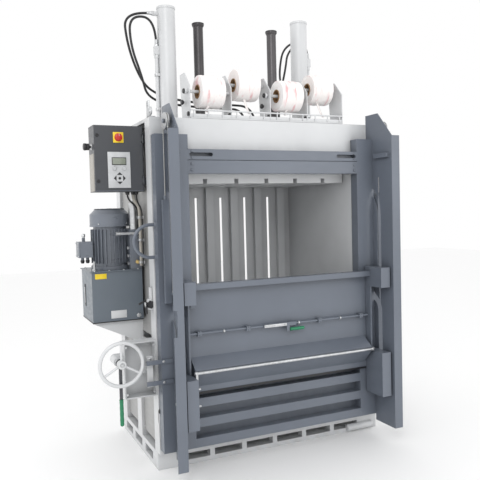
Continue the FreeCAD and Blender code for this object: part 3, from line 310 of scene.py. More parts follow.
def rubber(name, colour):
    """Hydraulic hose cover: matt rubber with the print of its cloth wrap."""
    finish = Finish(name, 0.62)
    cloud = finish.span(finish.noise(14.0, 4.0), 0.35, 0.7)
    colour_now = finish.mix(cloud, colour, scaled(colour, 2.2))
    wrap = finish.waves(160.0, "DIAGONAL", 1.0)
    weave = finish.math("ADD", wrap, finish.math("MULTIPLY", finish.noise(700.0, 2.0), 0.5))
    finish.shader.inputs["Sheen Weight"].default_value = 0.15
    return finish.done(colour_now, finish.relief(weave, 0.35, 0.0004))


def wire_rope(name, colour):
    """Steel rope: its strands run slantwise round it, with painted shade in the grooves between them."""
    finish = Finish(name, 0.36, 0.9)
    strands = finish.waves(95.0, "DIAGONAL", 0.4, stretch=(3, 3, 1))
    # painted shade: the grooves between the strands are darkened
    colour_now = finish.mix(strands, scaled(colour, 0.35), colour)
    return finish.done(colour_now, finish.relief(strands, 0.8, 0.001))


def tape_finish(name):
    """Woven polyester tape wound on itself: thin slanting layers with faint rosy streaks."""
    finish = Finish(name, 0.48)
    layers = finish.waves(70.0, "X", 3.2, stretch=(1, 0.35, 0.35))
    fine = finish.noise(330.0, 3.0, stretch=(1, 0.12, 0.12))
    colour_now = finish.mix(finish.span(layers, 0.1, 0.9), (0.86, 0.80, 0.775), (0.95, 0.93, 0.92))
    streak = finish.span(finish.noise(30.0, 4.0, stretch=(1.0, 0.22, 0.22), rough=0.6), 0.56, 0.70)
    colour_now = finish.mix(finish.math("MULTIPLY", streak, 0.85), colour_now, (0.74, 0.36, 0.38))
    lines = finish.math("ADD", finish.math("MULTIPLY", layers, 0.6), fine)
    finish.shader.inputs["Sheen Weight"].default_value = 0.25
    return finish.done(colour_now, finish.relief(lines, 0.45, 0.0008))


def board_finish(name):
    """Brown board of a tape core: fibres and pale cut edges."""
    finish = Finish(name, 0.86)
    fibres = finish.noise(160.0, 4.0, stretch=(0.3, 1, 1))
    colour_now = finish.mix(finish.span(fibres, 0.3, 0.7), (0.21, 0.115, 0.05), (0.36, 0.22, 0.11))
    return finish.done(colour_now, finish.relief(fibres, 0.4, 0.0006))


def screen_finish(name):
    """A small display: pale green-grey with a faint grid of cells under its glass."""
    finish = Finish(name, 0.18)
    cells = finish.math("MULTIPLY", finish.waves(160.0, "X"), finish.waves(160.0, "Z"))
    colour_now = finish.mix(finish.span(cells, 0.1, 0.5), (0.21, 0.23, 0.19), (0.33, 0.36, 0.29))
    finish.shader.inputs["Coat Weight"].default_value = 0.8
    return finish.done(colour_now, finish.relief(cells, 0.05, 0.0002))


def ribbed_tube(name, colour):
    """Dark blackened guide tube with the fine rings that its turning left."""
    finish = Finish(name, 0.34, 0.55)
    rings = finish.waves(34.0, "Z", 0.6, stretch=(0.02, 0.02, 1))
    worn = finish.span(finish.noise(5.0, 4.0, stretch=(1, 1, 0.5)), 0.35, 0.7)
    colour_now = finish.mix(worn, colour, scaled(colour, 1.9))
    return finish.done(colour_now, finish.relief(rings, 0.25, 0.0008))


# In the paints, the setting after the worn colour gives the strength of their painted shade and dirt where
# they are shut in.
FINISHES = {
    "white_paint": paint("white_paint", (0.63, 0.64, 0.65), 0.36, (0.45, 0.46, 0.47), shade_and_dirt=0.75),
    # painted shade: this grey, darker than the white paint, dresses the body's side panels for the shade on
    # its side walls
    "light_grey_paint": paint("light_grey_paint", (0.34, 0.34, 0.335), 0.45, (0.6, 0.6, 0.6), shade_and_dirt=0.7),
    "dark_grey_paint": paint("dark_grey_paint", (0.135, 0.154, 0.188), 0.38, (0.36, 0.38, 0.41), shade_and_dirt=0.85),
    "charcoal_paint": paint("charcoal_paint", (0.052, 0.056, 0.064), 0.42, (0.20, 0.21, 0.23), shade_and_dirt=0.7),
    "tank_paint": paint("tank_paint", (0.124, 0.150, 0.178), 0.40, (0.30, 0.32, 0.35), shade_and_dirt=0.7,
                        below=(0.9, (0.63, 0.64, 0.65))),
    "side_strip": paint("side_strip", (0.36, 0.34, 0.30), 0.5, (0.6, 0.6, 0.58), shade_and_dirt=0.6),
    "motor_grey_paint": paint("motor_grey_paint", (0.158, 0.176, 0.208), 0.32, (0.42, 0.44, 0.47), shade_and_dirt=0.85,
                              wear=0.8),
    "hose_rubber": rubber("hose_rubber", (0.010, 0.010, 0.011)),
    "strapping_tape": tape_finish("strapping_tape"),
    "core_board": board_finish("core_board"),
    "green_grip": plastic("green_grip", (0.012, 0.190, 0.085), 0.42, gloss=0.2),
    "red_plastic": plastic("red_plastic", (0.52, 0.018, 0.012), 0.30, gloss=0.4),
    "yellow_plastic": plastic("yellow_plastic", (0.86, 0.62, 0.02), 0.40, gloss=0.2),
    "panel_plastic": plastic("panel_plastic", (0.55, 0.56, 0.57), 0.50),
    "black_plastic": plastic("black_plastic", (0.014, 0.014, 0.016), 0.38, gloss=0.2),
    "screen": screen_finish("screen"),
    "dark_steel": ribbed_tube("dark_steel", (0.060, 0.057, 0.059)),
    "chromed_rod": metal("chromed_rod", (0.78, 0.79, 0.80), 0.16, grain=(30, 30, 1), strength=0.03),
    "zinc_steel": metal("zinc_steel", (0.66, 0.67, 0.68), 0.34, spangle=0.4),
    "brass": metal("brass", (0.62, 0.46, 0.20), 0.30),
    "steel_rope": wire_rope("steel_rope", (0.62, 0.62, 0.60)),
}


# ---------------------------------------------------------------- shapes
class Shape:
    """One piece in the making, gathered from rounded blocks and turned forms in one or more finishes."""

    def __init__(self, finish):
        self.mesh = bmesh.new()
        self.finishes = [finish]
        self.index = 0

    def use(self, finish):
        """The next forms take this finish."""
        if finish not in self.finishes:
            self.finishes.append(finish)
        self.index = self.finishes.index(finish)
        return self

    def mark(self, before):
        """Gives the finish in use to the faces made since then."""
        for face in self.mesh.faces:
            if face not in before:
                face.material_index = self.index
        return self

    def block(self, low, high, edge=1.0, turn=None):
        """A block between two places, with rounded edges, turned by a matrix about its middle."""
        before = set(self.mesh.faces)
        first = spot(*low)
        last = spot(*high)
        middle = (first + last) / 2
        extent = last - first
        made = bmesh.ops.create_cube(self.mesh, size=1.0)["verts"]
        for vert in made:
            vert.co = Vector([vert.co[i] * extent[i] for i in range(3)])
        limit = min(abs(value) for value in extent) * 0.45
        edges = list({edge_now for vert in made for edge_now in vert.link_edges})
        done = bmesh.ops.bevel(self.mesh, geom=edges, offset=min(edge / 1000, limit), segments=2, profile=0.5,
                               affect="EDGES")
        for vert in {corner for face in done["faces"] for corner in face.verts}:
            vert.co = (turn @ vert.co if turn else vert.co) + middle
        return self.mark(before)

    def turned(self, place, axis, profile, steps=24, closed=False):
        """A form turned about an axis; the profile lists how far along it and how far from it, in mm."""
        before = set(self.mesh.faces)
        along = AXES[axis] if isinstance(axis, str) else Vector(axis).normalized()
        side = along.orthogonal().normalized()
        up = along.cross(side)
        rings = []
        for reach, radius in profile:
            centre = place + along * (reach / 1000)
            if radius == 0:
                rings.append([self.mesh.verts.new(centre)])
                continue
            ring = []
            for step in range(steps):
                angle = 2 * math.pi * step / steps
                ring.append(self.mesh.verts.new(
                    centre + (side * math.cos(angle) + up * math.sin(angle)) * (radius / 1000)))
            rings.append(ring)
        pairs = list(zip(rings, rings[1:]))
        if closed:
            pairs.append((rings[-1], rings[0]))
        for first, last in pairs:
            for step in range(steps):
                after = (step + 1) % steps
                if len(first) == 1:
                    self.mesh.faces.new((first[0], last[step], last[after]))
                elif len(last) == 1:
                    self.mesh.faces.new((first[after], first[step], last[0]))
                else:
                    self.mesh.faces.new((first[after], first[step], last[step], last[after]))
        if not closed:
            for ring in (rings[0], rings[-1]):
                if len(ring) > 1:
                    self.mesh.faces.new(ring)
        return self.mark(before)

    def slab(self, outline, thick, axis):
        """A flat plate from its outline of places in its own plane, thickened along an axis."""
        before = set(self.mesh.faces)
        low = [self.mesh.verts.new(point) for point in outline]
        high = [self.mesh.verts.new(point + AXES[axis] * thick / 1000) for point in outline]
        self.mesh.faces.new(low)
        self.mesh.faces.new(high)
        for step in range(len(low)):
            after = (step + 1) % len(low)
            self.mesh.faces.new((low[step], low[after], high[after], high[step]))
        return self.mark(before)

    def bolt(self, place, axis, size=8):
        """A washer and a chamfered hexagon head that stand on a surface."""
        self.turned(place, axis, [(0, size * 1.1), (size * 0.14, size * 1.1), (size * 0.2, size * 1.0)], 20)
        head = [(size * 0.2, size * 0.92), (size * 0.62, size * 0.92), (size * 0.75, size * 0.78),
                (size * 0.75, 0)]
        return self.turned(place, axis, head, 6)

    def cap_screw(self, place, axis, size=6):
        """A round socket-head screw with its recess."""
        return self.turned(place, axis, [(0, size * 0.85), (size * 0.7, size * 0.85),
                                         (size * 0.8, size * 0.74),
                                         (size * 0.8, size * 0.42), (size * 0.35, size * 0.42),
                                         (size * 0.35, 0)], 16)

    def make(self, name, body):
        """The finished piece, riding on its body."""
        bmesh.ops.recalc_face_normals(self.mesh, faces=self.mesh.faces)
        mesh = bpy.data.meshes.new(name)
        self.mesh.to_mesh(mesh)
        self.mesh.free()
        for finish in self.finishes:
            mesh.materials.append(FINISHES[finish])
        for face in mesh.polygons:
            face.use_smooth = True
        mesh.set_sharp_from_angle(angle=math.radians(38))
        piece = bpy.data.objects.new(name, mesh)
        link(piece)
        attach(piece, body)
        return piece


def tube(name, points, across, finish, body):
    """A round tube on one smooth line through the pull of its points."""
    curve = bpy.data.curves.new(name, "CURVE")
    curve.dimensions = "3D"
    curve.bevel_depth = across / 2000
    curve.bevel_resolution = 5
    curve.resolution_u = 14
    curve.use_fill_caps = True
    line = curve.splines.new("NURBS")
    line.points.add(len(points) - 1)
    for point, place in zip(line.points, points):
        point.co = (*place, 1.0)
    line.order_u = 3
    line.use_endpoint_u = True
    curve.materials.append(FINISHES[finish])
    piece = bpy.data.objects.new(name, curve)
    link(piece)
    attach(piece, body)
    return piece


# ---------------------------------------------------------------- hoses
HOSE_ACROSS = 16
HOSES = {
    "hose_left_upper": [(-601, 517, 2896), (-805, 517, 2896), (-785, 515, 2675), (-700, 560, 2480),
                        (-590, 650, 2400), (-380, 660, 2350), (-60, 650, 2340), (205, 645, 2335),
                        (205, 645, 2160)],
    "hose_left_lower": [(-586, 517, 2680), (-586, 517, 2868), (-772, 500, 2862), (-768, 490, 2660),
                        (-700, 500, 2480), (-625, 625, 2345), (-380, 632, 2312), (-100, 620, 2306),
                        (110, 620, 2304), (110, 620, 2160)],
    "hose_right_upper": [(575.3, 579.3, 2896), (660, 664, 2896), (580, 810, 2810), (500, 700, 2650),
                         (450, 690, 2480), (430, 700, 2330), (430, 700, 2160)],
    "hose_right_lower": [(586, 517, 2680.4), (588, 522, 2835), (515, 755, 2835), (455, 725, 2630),
                         (420, 630, 2480), (330, 640, 2330), (330, 640, 2160)],
}
COLLAR = [(0, 14.5), (13, 14.5), (14, 13), (16, 11.6), (20, 11.6), (21, 10.9), (25, 10.9), (26, 11.6),
          (31, 11.6), (32, 10.9), (36, 10.9), (37, 11.6), (43, 11.6), (46, 9.4)]


def make_hoses():
    """Each hose on its port's line, with a nut and a crimped collar at both ends."""
    for name, places in HOSES.items():
        points = [spot(*place) for place in places]
        piece = tube(name + "_line", points, HOSE_ACROSS, "hose_rubber", "machine")
        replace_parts(piece, name)
        ends = Shape("zinc_steel")
        for first, after in ((points[0], points[1]), (points[-1], points[-2])):
            way = (after - first).normalized()
            ends.turned(first, way, [(-2, 15.5), (9, 15.5), (11, 14.0)], 6)
            ends.turned(first, way, COLLAR, 20)
        fittings = ends.make(name + "_fittings", "machine")
        drawn = bpy.data.meshes.new_from_object(line_only(piece))
        bpy.data.meshes.remove(drawn)


def line_only(piece):
    """The same curve with no thickness."""
    bare = piece.data.copy()
    bare.bevel_depth = 0
    return bpy.data.objects.new("line", bare)


# ---------------------------------------------------------------- finishes of the frame's own nodes
# the side panels take the grey paint as painted shade on the body's side walls
OWN_FINISHES = {"side_panels": "light_grey_paint", "oil_tank": "tank_paint"}


def dress_frame():
    """Each node of the frame takes the finish of its material slot, but the side panels take the grey paint
    as painted shade and the oil tank takes its own two-tone paint.
    """
    slots = {part["node"]: part["material_slot"] for part in frame["record"]["subparts"]}
    for name, piece in frame["nodes"].items():
        piece.data.materials.clear()
        piece.data.materials.append(FINISHES[OWN_FINISHES.get(name, slots[name])])


# ---------------------------------------------------------------- roof
def make_cylinder_trim():
    """Head caps, flange bolts, weld rings and the fixed pipes of the press cylinders."""
    for name, middle in CYLINDERS:
        sign = 1 if middle > 0 else -1
        trim = Shape("white_paint")
        top = spot(middle, DRIVE_BACK, 2944)
        trim.turned(top, "z", [(-16, 61.6), (-14, 64), (-2, 64), (1, 61), (3, 50), (4, 22), (7, 20),
                               (8, 0)], 40)
        flange = spot(middle, DRIVE_BACK, ROOF + 26)
        trim.turned(flange, "z", [(-1, 71), (2, 70), (7, 66), (10, 62), (10, 60)], 40)
        for step in range(8):
            angle = math.radians(22.5 + 45 * step)
            place = spot(middle + 78 * math.cos(angle), DRIVE_BACK + 78 * math.sin(angle), ROOF + 26)
            trim.use("zinc_steel").bolt(place, "z", 11)
        pipe_x = middle + sign * 73
        trim.use("white_paint")
        trim.turned(spot(pipe_x, DRIVE_BACK, ROOF), "z",
                    [(0, 20), (12, 20), (13, 13), (470, 13), (472, 17), (493, 17), (495, 14)], 24)
        for level in (2250, 2480):
            trim.use("zinc_steel").block((min(middle, pipe_x) - (14 if sign < 0 else -50), DRIVE_BACK - 19,
                                          level),
                                         (max(middle, pipe_x) + (14 if sign > 0 else -50), DRIVE_BACK + 19,
                                          level + 22), 3)
        trim.make(name + "_trim", "machine")


def make_guide_trim():
    """The bushes' wipers and bolts, and the dark caps of the guide rods."""
    for side_name, middle in (("left", -284), ("right", 284)):
        bush = Shape("black_plastic")
        bush.turned(spot(middle, DRIVE_BACK, ROOF + 60), "z",
                    [(0, 50), (5, 50), (9, 42), (9, 34.4), (0, 34.4)], 36,
                    closed=True)
        for step in range(6):
            angle = math.radians(60 * step)
            place = spot(middle + 65 * math.cos(angle), DRIVE_BACK + 65 * math.sin(angle), ROOF + 12)
            bush.use("zinc_steel").bolt(place, "z", 8)
        bush.make("guide_bush_trim_" + side_name, "machine")
        cap = Shape("black_plastic")
        cap.turned(spot(middle, DRIVE_BACK, 2846), "z",
                   [(0, 35.2), (2, 41), (6, 42.6), (12, 42.6), (15, 40), (15, 27), (11, 26), (11, 0)], 40)
        cap.use("zinc_steel").cap_screw(spot(middle, DRIVE_BACK, 2856), "z", 16)
        cap.make("guide_cap_" + side_name, "press")


HUB_HALF = [(8, 36.3), (8, 30), (4, 28), (4, 14), (10, 13), (10, 10.2)]
HUB = [(-8, 36.3)] + HUB_HALF + [(-along, distance) for along, distance in reversed(HUB_HALF[1:])]


def make_reels():
    """Each reel: crowned layers of tape on a board core, with a hub round its axle."""
    for index, (across, (behind, up)) in enumerate(REELS):
        name = "reel_%d" % (index + 1)
        half = 75
        radius = 101.5
        reel = Shape("strapping_tape")
        profile = []
        layers = 26
        for step in range(layers + 1):
            share = step / layers
            sway = math.sin(share * 23 + index * 1.7) * 0.9 + math.sin(share * 61 + index) * 0.5
            crown = -3.2 * abs(2 * share - 1) ** 5
            profile.append((-half + 2 * half * share, radius - 1.4 + sway + crown))
        sides = [(half + 0.6, 96), (half - 0.6, 84), (half + 0.8, 70), (half - 0.5, 56), (half, 43.0)]
        full = [(-along, distance) for along, distance in reversed(sides)] + profile + sides
        reel.turned(spot(across, behind, up), "x", full, 72, closed=True)
        core = [(-half - 4, 42), (half + 4, 42), (half + 4.4, 40), (half + 4, 36.4), (-half - 4, 36.4),
                (-half - 4.4, 40)]
        reel.use("core_board").turned(spot(across, behind, up), "x", core, 48, closed=True)
        reel.use("black_plastic").turned(spot(across, behind, up), "x", HUB, 36, closed=True)
        piece = reel.make(name + "_winding", "strap_reel_%d" % (index + 1))
        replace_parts(piece, name)


def make_rack_trim():
    """The rack's black knobs, its spacer tubes and the strap guides at its front."""
    knobs = Shape("black_plastic")
    knob = [(0, 9), (4, 9), (6, 13), (9, 15.5), (17, 15.5), (20, 13), (20, 0)]
    for index, (across, (behind, up)) in enumerate(REELS):
        plate_x = across - REEL_PITCH / 2 - 3
        for place in ((behind, up), (behind + 38, up - 62)):
            knobs.turned(spot(plate_x - 11, *place), "-x", knob, 20)
        knobs.turned(spot(plate_x - 1, 24, 2160), "-x", [(0, 14), (8, 14), (10, 12), (10, 0)], 6)
    for place in ((120, 2366), (96, 2290)):
        knobs.turned(spot(2 * REEL_PITCH + 2, *place), "x", knob, 20)
    knobs.make("rack_knobs", "machine")
    guides = Shape("white_paint")
    for index in range(12):
        across = -2 * REEL_PITCH + 22 + index * (4 * REEL_PITCH - 44) / 11
        guides.block((across - 4, 5, 2131), (across + 4, 10.5, 2186), 1.5)
    guides.block((-2 * REEL_PITCH, 4, 2178), (2 * REEL_PITCH, 11, 2187), 2)
    guides.block((-2 * REEL_PITCH, 4, 2131), (2 * REEL_PITCH, 10.5, 2140), 2)
    guides.make("strap_guides", "machine")
    inner = Shape("black_plastic")
    inner.block((-2 * REEL_PITCH + 6, 40.5, 2131), (2 * REEL_PITCH - 6, 43, 2165), 1)
    inner.make("rack_slot_shade", "machine")


def make_tape_tails():
    """From each reel a tail of tape drops to the guide slot at the front of the roof."""
    for index, (across, (behind, up)) in enumerate(REELS):
        low_z = 2172
        tail = []
        for step in range(9):
            share = step / 8
            bow = math.sin(math.pi * share) * (16 if index % 2 == 0 else 34)
            start_y = behind - 40
            start_z = up - 93
            place_y = start_y + (16 - start_y) * share + bow * 0.4
            place_z = start_z + (low_z - start_z) * share
            shift = math.sin(share * 2.2) * (10 if index % 2 else -8)
            tail.append((across - 20 + shift, place_y, place_z))
        strip = bmesh.new()
        rows = []
        for place in tail:
            rows.append([strip.verts.new(spot(place[0] + side, place[1], place[2])) for side in (-8, 8)])
        for first, last in zip(rows, rows[1:]):
            strip.faces.new((first[0], first[1], last[1], last[0]))
        name = "tape_tail_%d" % (index + 1)
        mesh = bpy.data.meshes.new(name)
        strip.to_mesh(mesh)
        strip.free()
        mesh.materials.append(FINISHES["strapping_tape"])
        piece = bpy.data.objects.new(name, mesh)
        link(piece)
        thick = piece.modifiers.new("thick", "SOLIDIFY")
        thick.thickness = 0.0009
        for face in mesh.polygons:
            face.use_smooth = True
        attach(piece, "machine")


# ---------------------------------------------------------------- doors
def make_door_trim():
    """Hinge bolts, beam end bolts, the arms' bolts, the handle's collars and the weld seams."""
    trim = Shape("dark_grey_paint")
    for level in HINGE_LEVELS:
        for up in (-16, 16):
            trim.use("zinc_steel").bolt(spot(806, -53, level + up), "-y", 8)
    for side in (-1, 1):
        for level in (1815, 1850):
            trim.use("dark_grey_paint").bolt(spot(side * 575, -75, level), "-y", 9)
        for level in (1889, 1926):
            trim.bolt(spot(side * 574, -75, level), "-y", 7)
    for level in (695, 573):
        trim.use("zinc_steel").bolt(spot(-788, -80.8, level), "-y", 7)
    for level in (1402 - 95, 1402 + 95):
        trim.use("dark_grey_paint").turned(spot(-800, -40, level), "-x",
                                           [(0, 19), (3, 19), (7, 13), (10, 10.5)],
                                           24)
    for side in (-1, 1):
        for level in (1793, 1872, 1875, 1938):
            trim.block((side * STILE_INSIDE - 3, -77.2, level - 3),
                       (side * STILE_INSIDE + 3, -74.6, level + 3), 1.2)
        trim.block((side * STILE_INSIDE - 2.6, -10, 150), (side * STILE_INSIDE + 2.6, -4.4, 1115), 1.4)
    trim.make("bale_door_trim", "bale_door")


def make_hinge_trim():
    """Head and grease nipple on each hinge pin of the body."""
    trim = Shape("zinc_steel")
    for level in HINGE_LEVELS:
        top = level + 30 + 40.5
        trim.turned(spot(*HINGE, top), "z",
                    [(0, 12), (5, 12), (7, 10), (7, 5), (12, 4), (14, 2.5), (14, 0)], 20)
        low = level - 30 - 40.5
        trim.turned(spot(*HINGE, low), "-z", [(0, 11), (6, 11), (8, 9), (8, 0)], 6)
    trim.make("hinge_pin_caps", "machine")


def make_loading_trim():
    """Nuts on the roller pins, the rod's end collars, clip screws and the rubber foot of the loading door."""
    trim = Shape("zinc_steel")
    for side in (-1, 1):
        way = "x" if side > 0 else "-x"
        for level in (1104, 450):
            trim.turned(spot(side * 733, ROLLER_BACK, level), way,
                        [(0, 10.4), (7, 10.4), (8.5, 9), (8.5, 0)], 6)
            trim.turned(spot(side * 703, ROLLER_BACK, level), "-x" if side > 0 else "x",
                        [(0, 0.0), (0.01, 6)], 8)
        trim.turned(spot(side * 633, -180, 624), way,
                    [(-14, 9.2), (-14, 13.5), (-1, 13.5), (1, 12), (1, 9.2)], 28,
                    closed=True)
    for place in (-9, -4, 4, 9):
        for up in (-9, 9):
            trim.use("dark_grey_paint").cap_screw(spot(place * CLIP_PITCH, -127.2, LATCH[1] + up), "-y", 3.4)
    trim.make("loading_door_trim", "loading_door")
    foot = Shape("black_plastic")
    foot.block((-636, -92, 474), (636, -83.5, 486), 2)
    foot.make("loading_door_foot", "loading_door")


def grip_profile(long, radius):
    """A moulded grip with a collar, finger waves and a rounded end."""
    profile = [(0, radius * 0.80), (1.5, radius * 1.06), (5, radius * 1.06), (7, radius * 0.9)]
    steps = 22
    for step in range(steps + 1):
        share = step / steps
        wave = math.sin(share * math.pi * 8) * 0.035
        profile.append((9 + (long - 20) * share, radius * (0.93 + wave + 0.04 * share)))
    profile += [(long - 7, radius * 0.92), (long - 3, radius * 0.78), (long - 0.8, radius * 0.45), (long, 0)]
    return profile


def make_grips():
    """The green grips of the latch and of the release lever."""
    low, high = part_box("latch_grip")
    latch = Shape("green_grip")
    latch.turned(Vector((low[0], (low[1] + high[1]) / 2, (low[2] + high[2]) / 2)), "x",
                 grip_profile((high[0] - low[0]) * 1000, (high[2] - low[2]) * 500), 32)
    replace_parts(latch.make("latch_hand_grip", "latch"), "latch_grip")
    low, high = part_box("lever_grip")
    lever = Shape("green_grip")
    lever.turned(Vector(((low[0] + high[0]) / 2, (low[1] + high[1]) / 2, high[2])), "-z",
                 grip_profile((high[2] - low[2]) * 1000, (high[0] - low[0]) * 500), 32)
    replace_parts(lever.make("release_hand_grip", "release_lever"), "lever_grip")


def make_latch_trim():
    """Collars on the latch rod beside its clips, and the screwed plate behind its grip."""
    trim = Shape("zinc_steel")
    for place in (-6.5, -1.6, 1.6, 6.5):
        trim.turned(spot(place * CLIP_PITCH, *LATCH), "x", [(-5, 7.1), (-5, 11), (5, 11), (5, 7.1)], 24,
                    closed=True)
    trim.make("latch_collars", "latch")
    bar = Shape("zinc_steel")
    bar.block((-148, -129, 834), (10, -125, 852), 1.5)
    for across in (-140, -76, -4):
        bar.cap_screw(spot(across, -129, LATCH[1]), "-y", 4)
    bar.make("latch_pull_cover", "latch")


# ---------------------------------------------------------------- switch cabinet
def make_cabinet_trim():
    """The lid's locks and lower edge, the switch's plate and dial, and the key panel's screen and arrows."""
    lid = Shape("black_plastic")
    face = 127.8
    for level in (1760, 2030):
        lid.turned(spot(-1086, face, level), "-y", [(0, 10), (3, 10), (4, 9), (4, 5), (1.5, 4.5), (1.5, 0)],
                   24)
    lid.use("dark_grey_paint").block((-1103, face - 0.9, 1701), (-813, face + 1.1, 1704), 0.4)
    lid.use("zinc_steel")
    for across in (-1022, -901):
        for level in (1727, 1926):
            lid.cap_screw(spot(across, 123.8, level), "-y", 3)
    lid.use("yellow_plastic").block((-992.5, 123.2, 1987.5), (-929.5, 127.9, 2050.5), 2.2)
    lid.use("red_plastic")
    lid.turned(spot(SWITCH[0], 124, SWITCH[1]), "-y", [(0, 24), (1.5, 24), (2.5, 22.5), (2.5, 20.5)], 36)
    lid.use("panel_plastic").block((-1029, 123.0, 1720), (-894, 124.6, 1933), 1.4)
    lid.use("black_plastic").block((-1005, 121.4, 1855), (-918, 122.6, 1901), 1.2)
    lid.use("screen").block((-1001, 120.6, 1859.5), (-922, 121.9, 1896.5), 0.6)
    lid.make("cabinet_lid_trim", "cabinet_lid")
    button = [(0, 11.8), (1.2, 11.8), (2.2, 10.8), (2.6, 8.5), (1.9, 6.5), (1.7, 0)]
    rim = [(0, 12.2), (1.0, 12.2), (1.0, 11.6), (0, 11.6)]
    for name, body, across in (("left", "left_key", -990), ("right", "right_key", -932)):
        key = Shape("panel_plastic")
        key.turned(spot(across, 121.0, KEY_LEVEL), "-y", button, 32)
        key.use("black_plastic").turned(spot(across, 120.2, KEY_LEVEL), "-y", rim, 32, closed=True)
        key.make("round_key_" + name, body)
    pad = Shape("black_plastic")
    for step in range(4):
        angle = math.pi / 2 * step
        way = Vector((math.cos(angle), 0, math.sin(angle)))
        across_way = Vector((-math.sin(angle), 0, math.cos(angle)))
        middle = spot(ARROW_PAD[0], 120.9, ARROW_PAD[1])
        corners = [middle + way * 0.036, middle + way * 0.020 + across_way * 0.017,
                   middle + way * 0.020 - across_way * 0.017]
        pad.slab(corners, 1.0, "-y")
    pad.turned(spot(ARROW_PAD[0], 121, ARROW_PAD[1]), "-y", [(0, 8), (1.4, 8), (2, 7), (2, 0)], 28)
    pad.make("arrow_signs", "arrow_keys")
    dial = Shape("red_plastic")
    dial.turned(spot(SWITCH[0], 108, SWITCH[1]), "-y", [(0, 20.4), (1, 20.6), (4, 20.2), (5, 18), (5, 0)], 36)
    dial.block((-967.5, 94.6, 1998), (-954.5, 103.4, 2040), 3)
    dial.use("panel_plastic").block((-962, 94.0, 2024), (-960, 94.8, 2038), 0.3)
    dial.make("switch_dial_face", "switch_dial")


def make_wall_conduits():
    """Conduits that clips hold flat along the side wall, from the cabinet down to the power pack."""
    runs = (("conduit_pale", 20, "side_strip", [(-860, 215, 1682), (-860, 215, 1650), (-822, 225, 1610),
                                                (-818, 228, 1540), (-818, 228, 1400), (-818, 228, 1240)]),
            ("conduit_motor", 11, "hose_rubber", [(-895, 215, 1682), (-895, 215, 1655), (-836, 250, 1612),
                                                  (-813, 262, 1560), (-812, 264, 1440), (-812, 266, 1250)]),
            ("conduit_valve", 9, "hose_rubber", [(-840, 215, 1682), (-838, 212, 1640), (-812, 200, 1590),
                                                 (-811, 196, 1500), (-811, 196, 1380), (-811, 200, 1240)]))
    for name, across, finish, places in runs:
        tube(name, [spot(*place) for place in places], across, finish, "machine")
    clips = Shape("zinc_steel")
    for level in (1540, 1400, 1262):
        clips.block((-810, 186, level - 9), (-805, 282, level + 9), 1.5)
        clips.block((-832, 215, level - 8), (-829, 243, level + 8), 1.2)
        for behind in (214, 241):
            clips.block((-832, behind, level - 8), (-805, behind + 2.5, level + 8), 0.8)
        clips.cap_screw(spot(-810, 250, level), "-x", 4)
    clips.make("conduit_clips", "machine")


def make_cabinet_body_trim():
    """The cabinet's cable glands, its side strip, its stop knob's ring and its top edge."""
    trim = Shape("black_plastic")
    gland = [(0, 15), (5, 15), (6, 12.5), (14, 12.5), (19, 9), (20, 6)]
    for across in (-860, -895, -840):
        trim.turned(spot(across, 215, 1699), "-z", gland, 20)
    trim.use("zinc_steel").turned(spot(-1105, *SIDE_KNOB), "-x", [(0, 20), (2, 20), (4, 18), (4, 8.2)], 30)
    trim.use("side_strip").block((-1106.2, 150, 1702), (-1104.6, 279, 1925), 0.6)
    trim.use("charcoal_paint").block((-1106, 147.5, 1698.2), (-806, 284.5, 1700), 0.6)
    trim.block((-1106, 147.5, 2088.2), (-806, 284.5, 2090.4), 0.8)
    trim.make("cabinet_body_trim", "machine")
    knob = Shape("black_plastic")
    knob.turned(spot(-1151, *SIDE_KNOB), "x", [(-3, 0), (-3, 16), (-1, 20.5), (4, 21.5), (14, 21.0), (18, 18),
                                                (22, 13), (34, 12)], 36)
    knob.make("stop_knob_cap", "stop_button")


# ---------------------------------------------------------------- power pack
def make_motor_trim():
    """The fan grille with painted shade behind it, the cowl's rim and screws, and the bare plate of the
    motor.
    """
    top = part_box("motor")[1][2] * 1000
    grille = Shape("motor_grey_paint")
    for radius in (30, 50, 70, 90):
        grille.turned(spot(*PACK, top), "z",
                      [(-0.5, radius - 2.2), (2.4, radius - 2.2), (2.4, radius + 2.2),
                       (-0.5, radius + 2.2)], 48,
                      closed=True)
    for step in range(6):
        turn = Matrix.Rotation(math.radians(30 * step), 3, "Z")
        grille.block((PACK[0] - 96, PACK[1] - 2, top - 0.5), (PACK[0] + 96, PACK[1] + 2, top + 1.8), 0.6,
                     turn)
    grille.turned(spot(*PACK, top), "z", [(-0.5, 17), (2.8, 17), (4, 14), (4, 0)], 32)
    # painted shade: a flat black disc under the rings darkens the openings of the grille
    grille.use("black_plastic").turned(spot(*PACK, top), "z", [(-0.6, 96), (0.5, 96), (0.5, 18)], 48)
    cowl = top - 110
    grille.use("motor_grey_paint").turned(
        spot(*PACK, cowl), "z", [(-1, 124), (-1, 126.6), (9, 126.6), (10, 125)], 48)
    for step in range(4):
        angle = math.radians(45 + 90 * step)
        way = (math.cos(angle), math.sin(angle), 0)
        grille.use("zinc_steel").cap_screw(
            spot(PACK[0] + 124.5 * way[0], PACK[1] + 124.5 * way[1], cowl + 16), way, 5)
    grille.use("panel_plastic")
    angle = math.radians(-70)
    grille.block((PACK[0] + 105, PACK[1] - 96, cowl - 140), (PACK[0] + 108, PACK[1] - 36, cowl - 90), 1)
    grille.make("motor_trim", "machine")


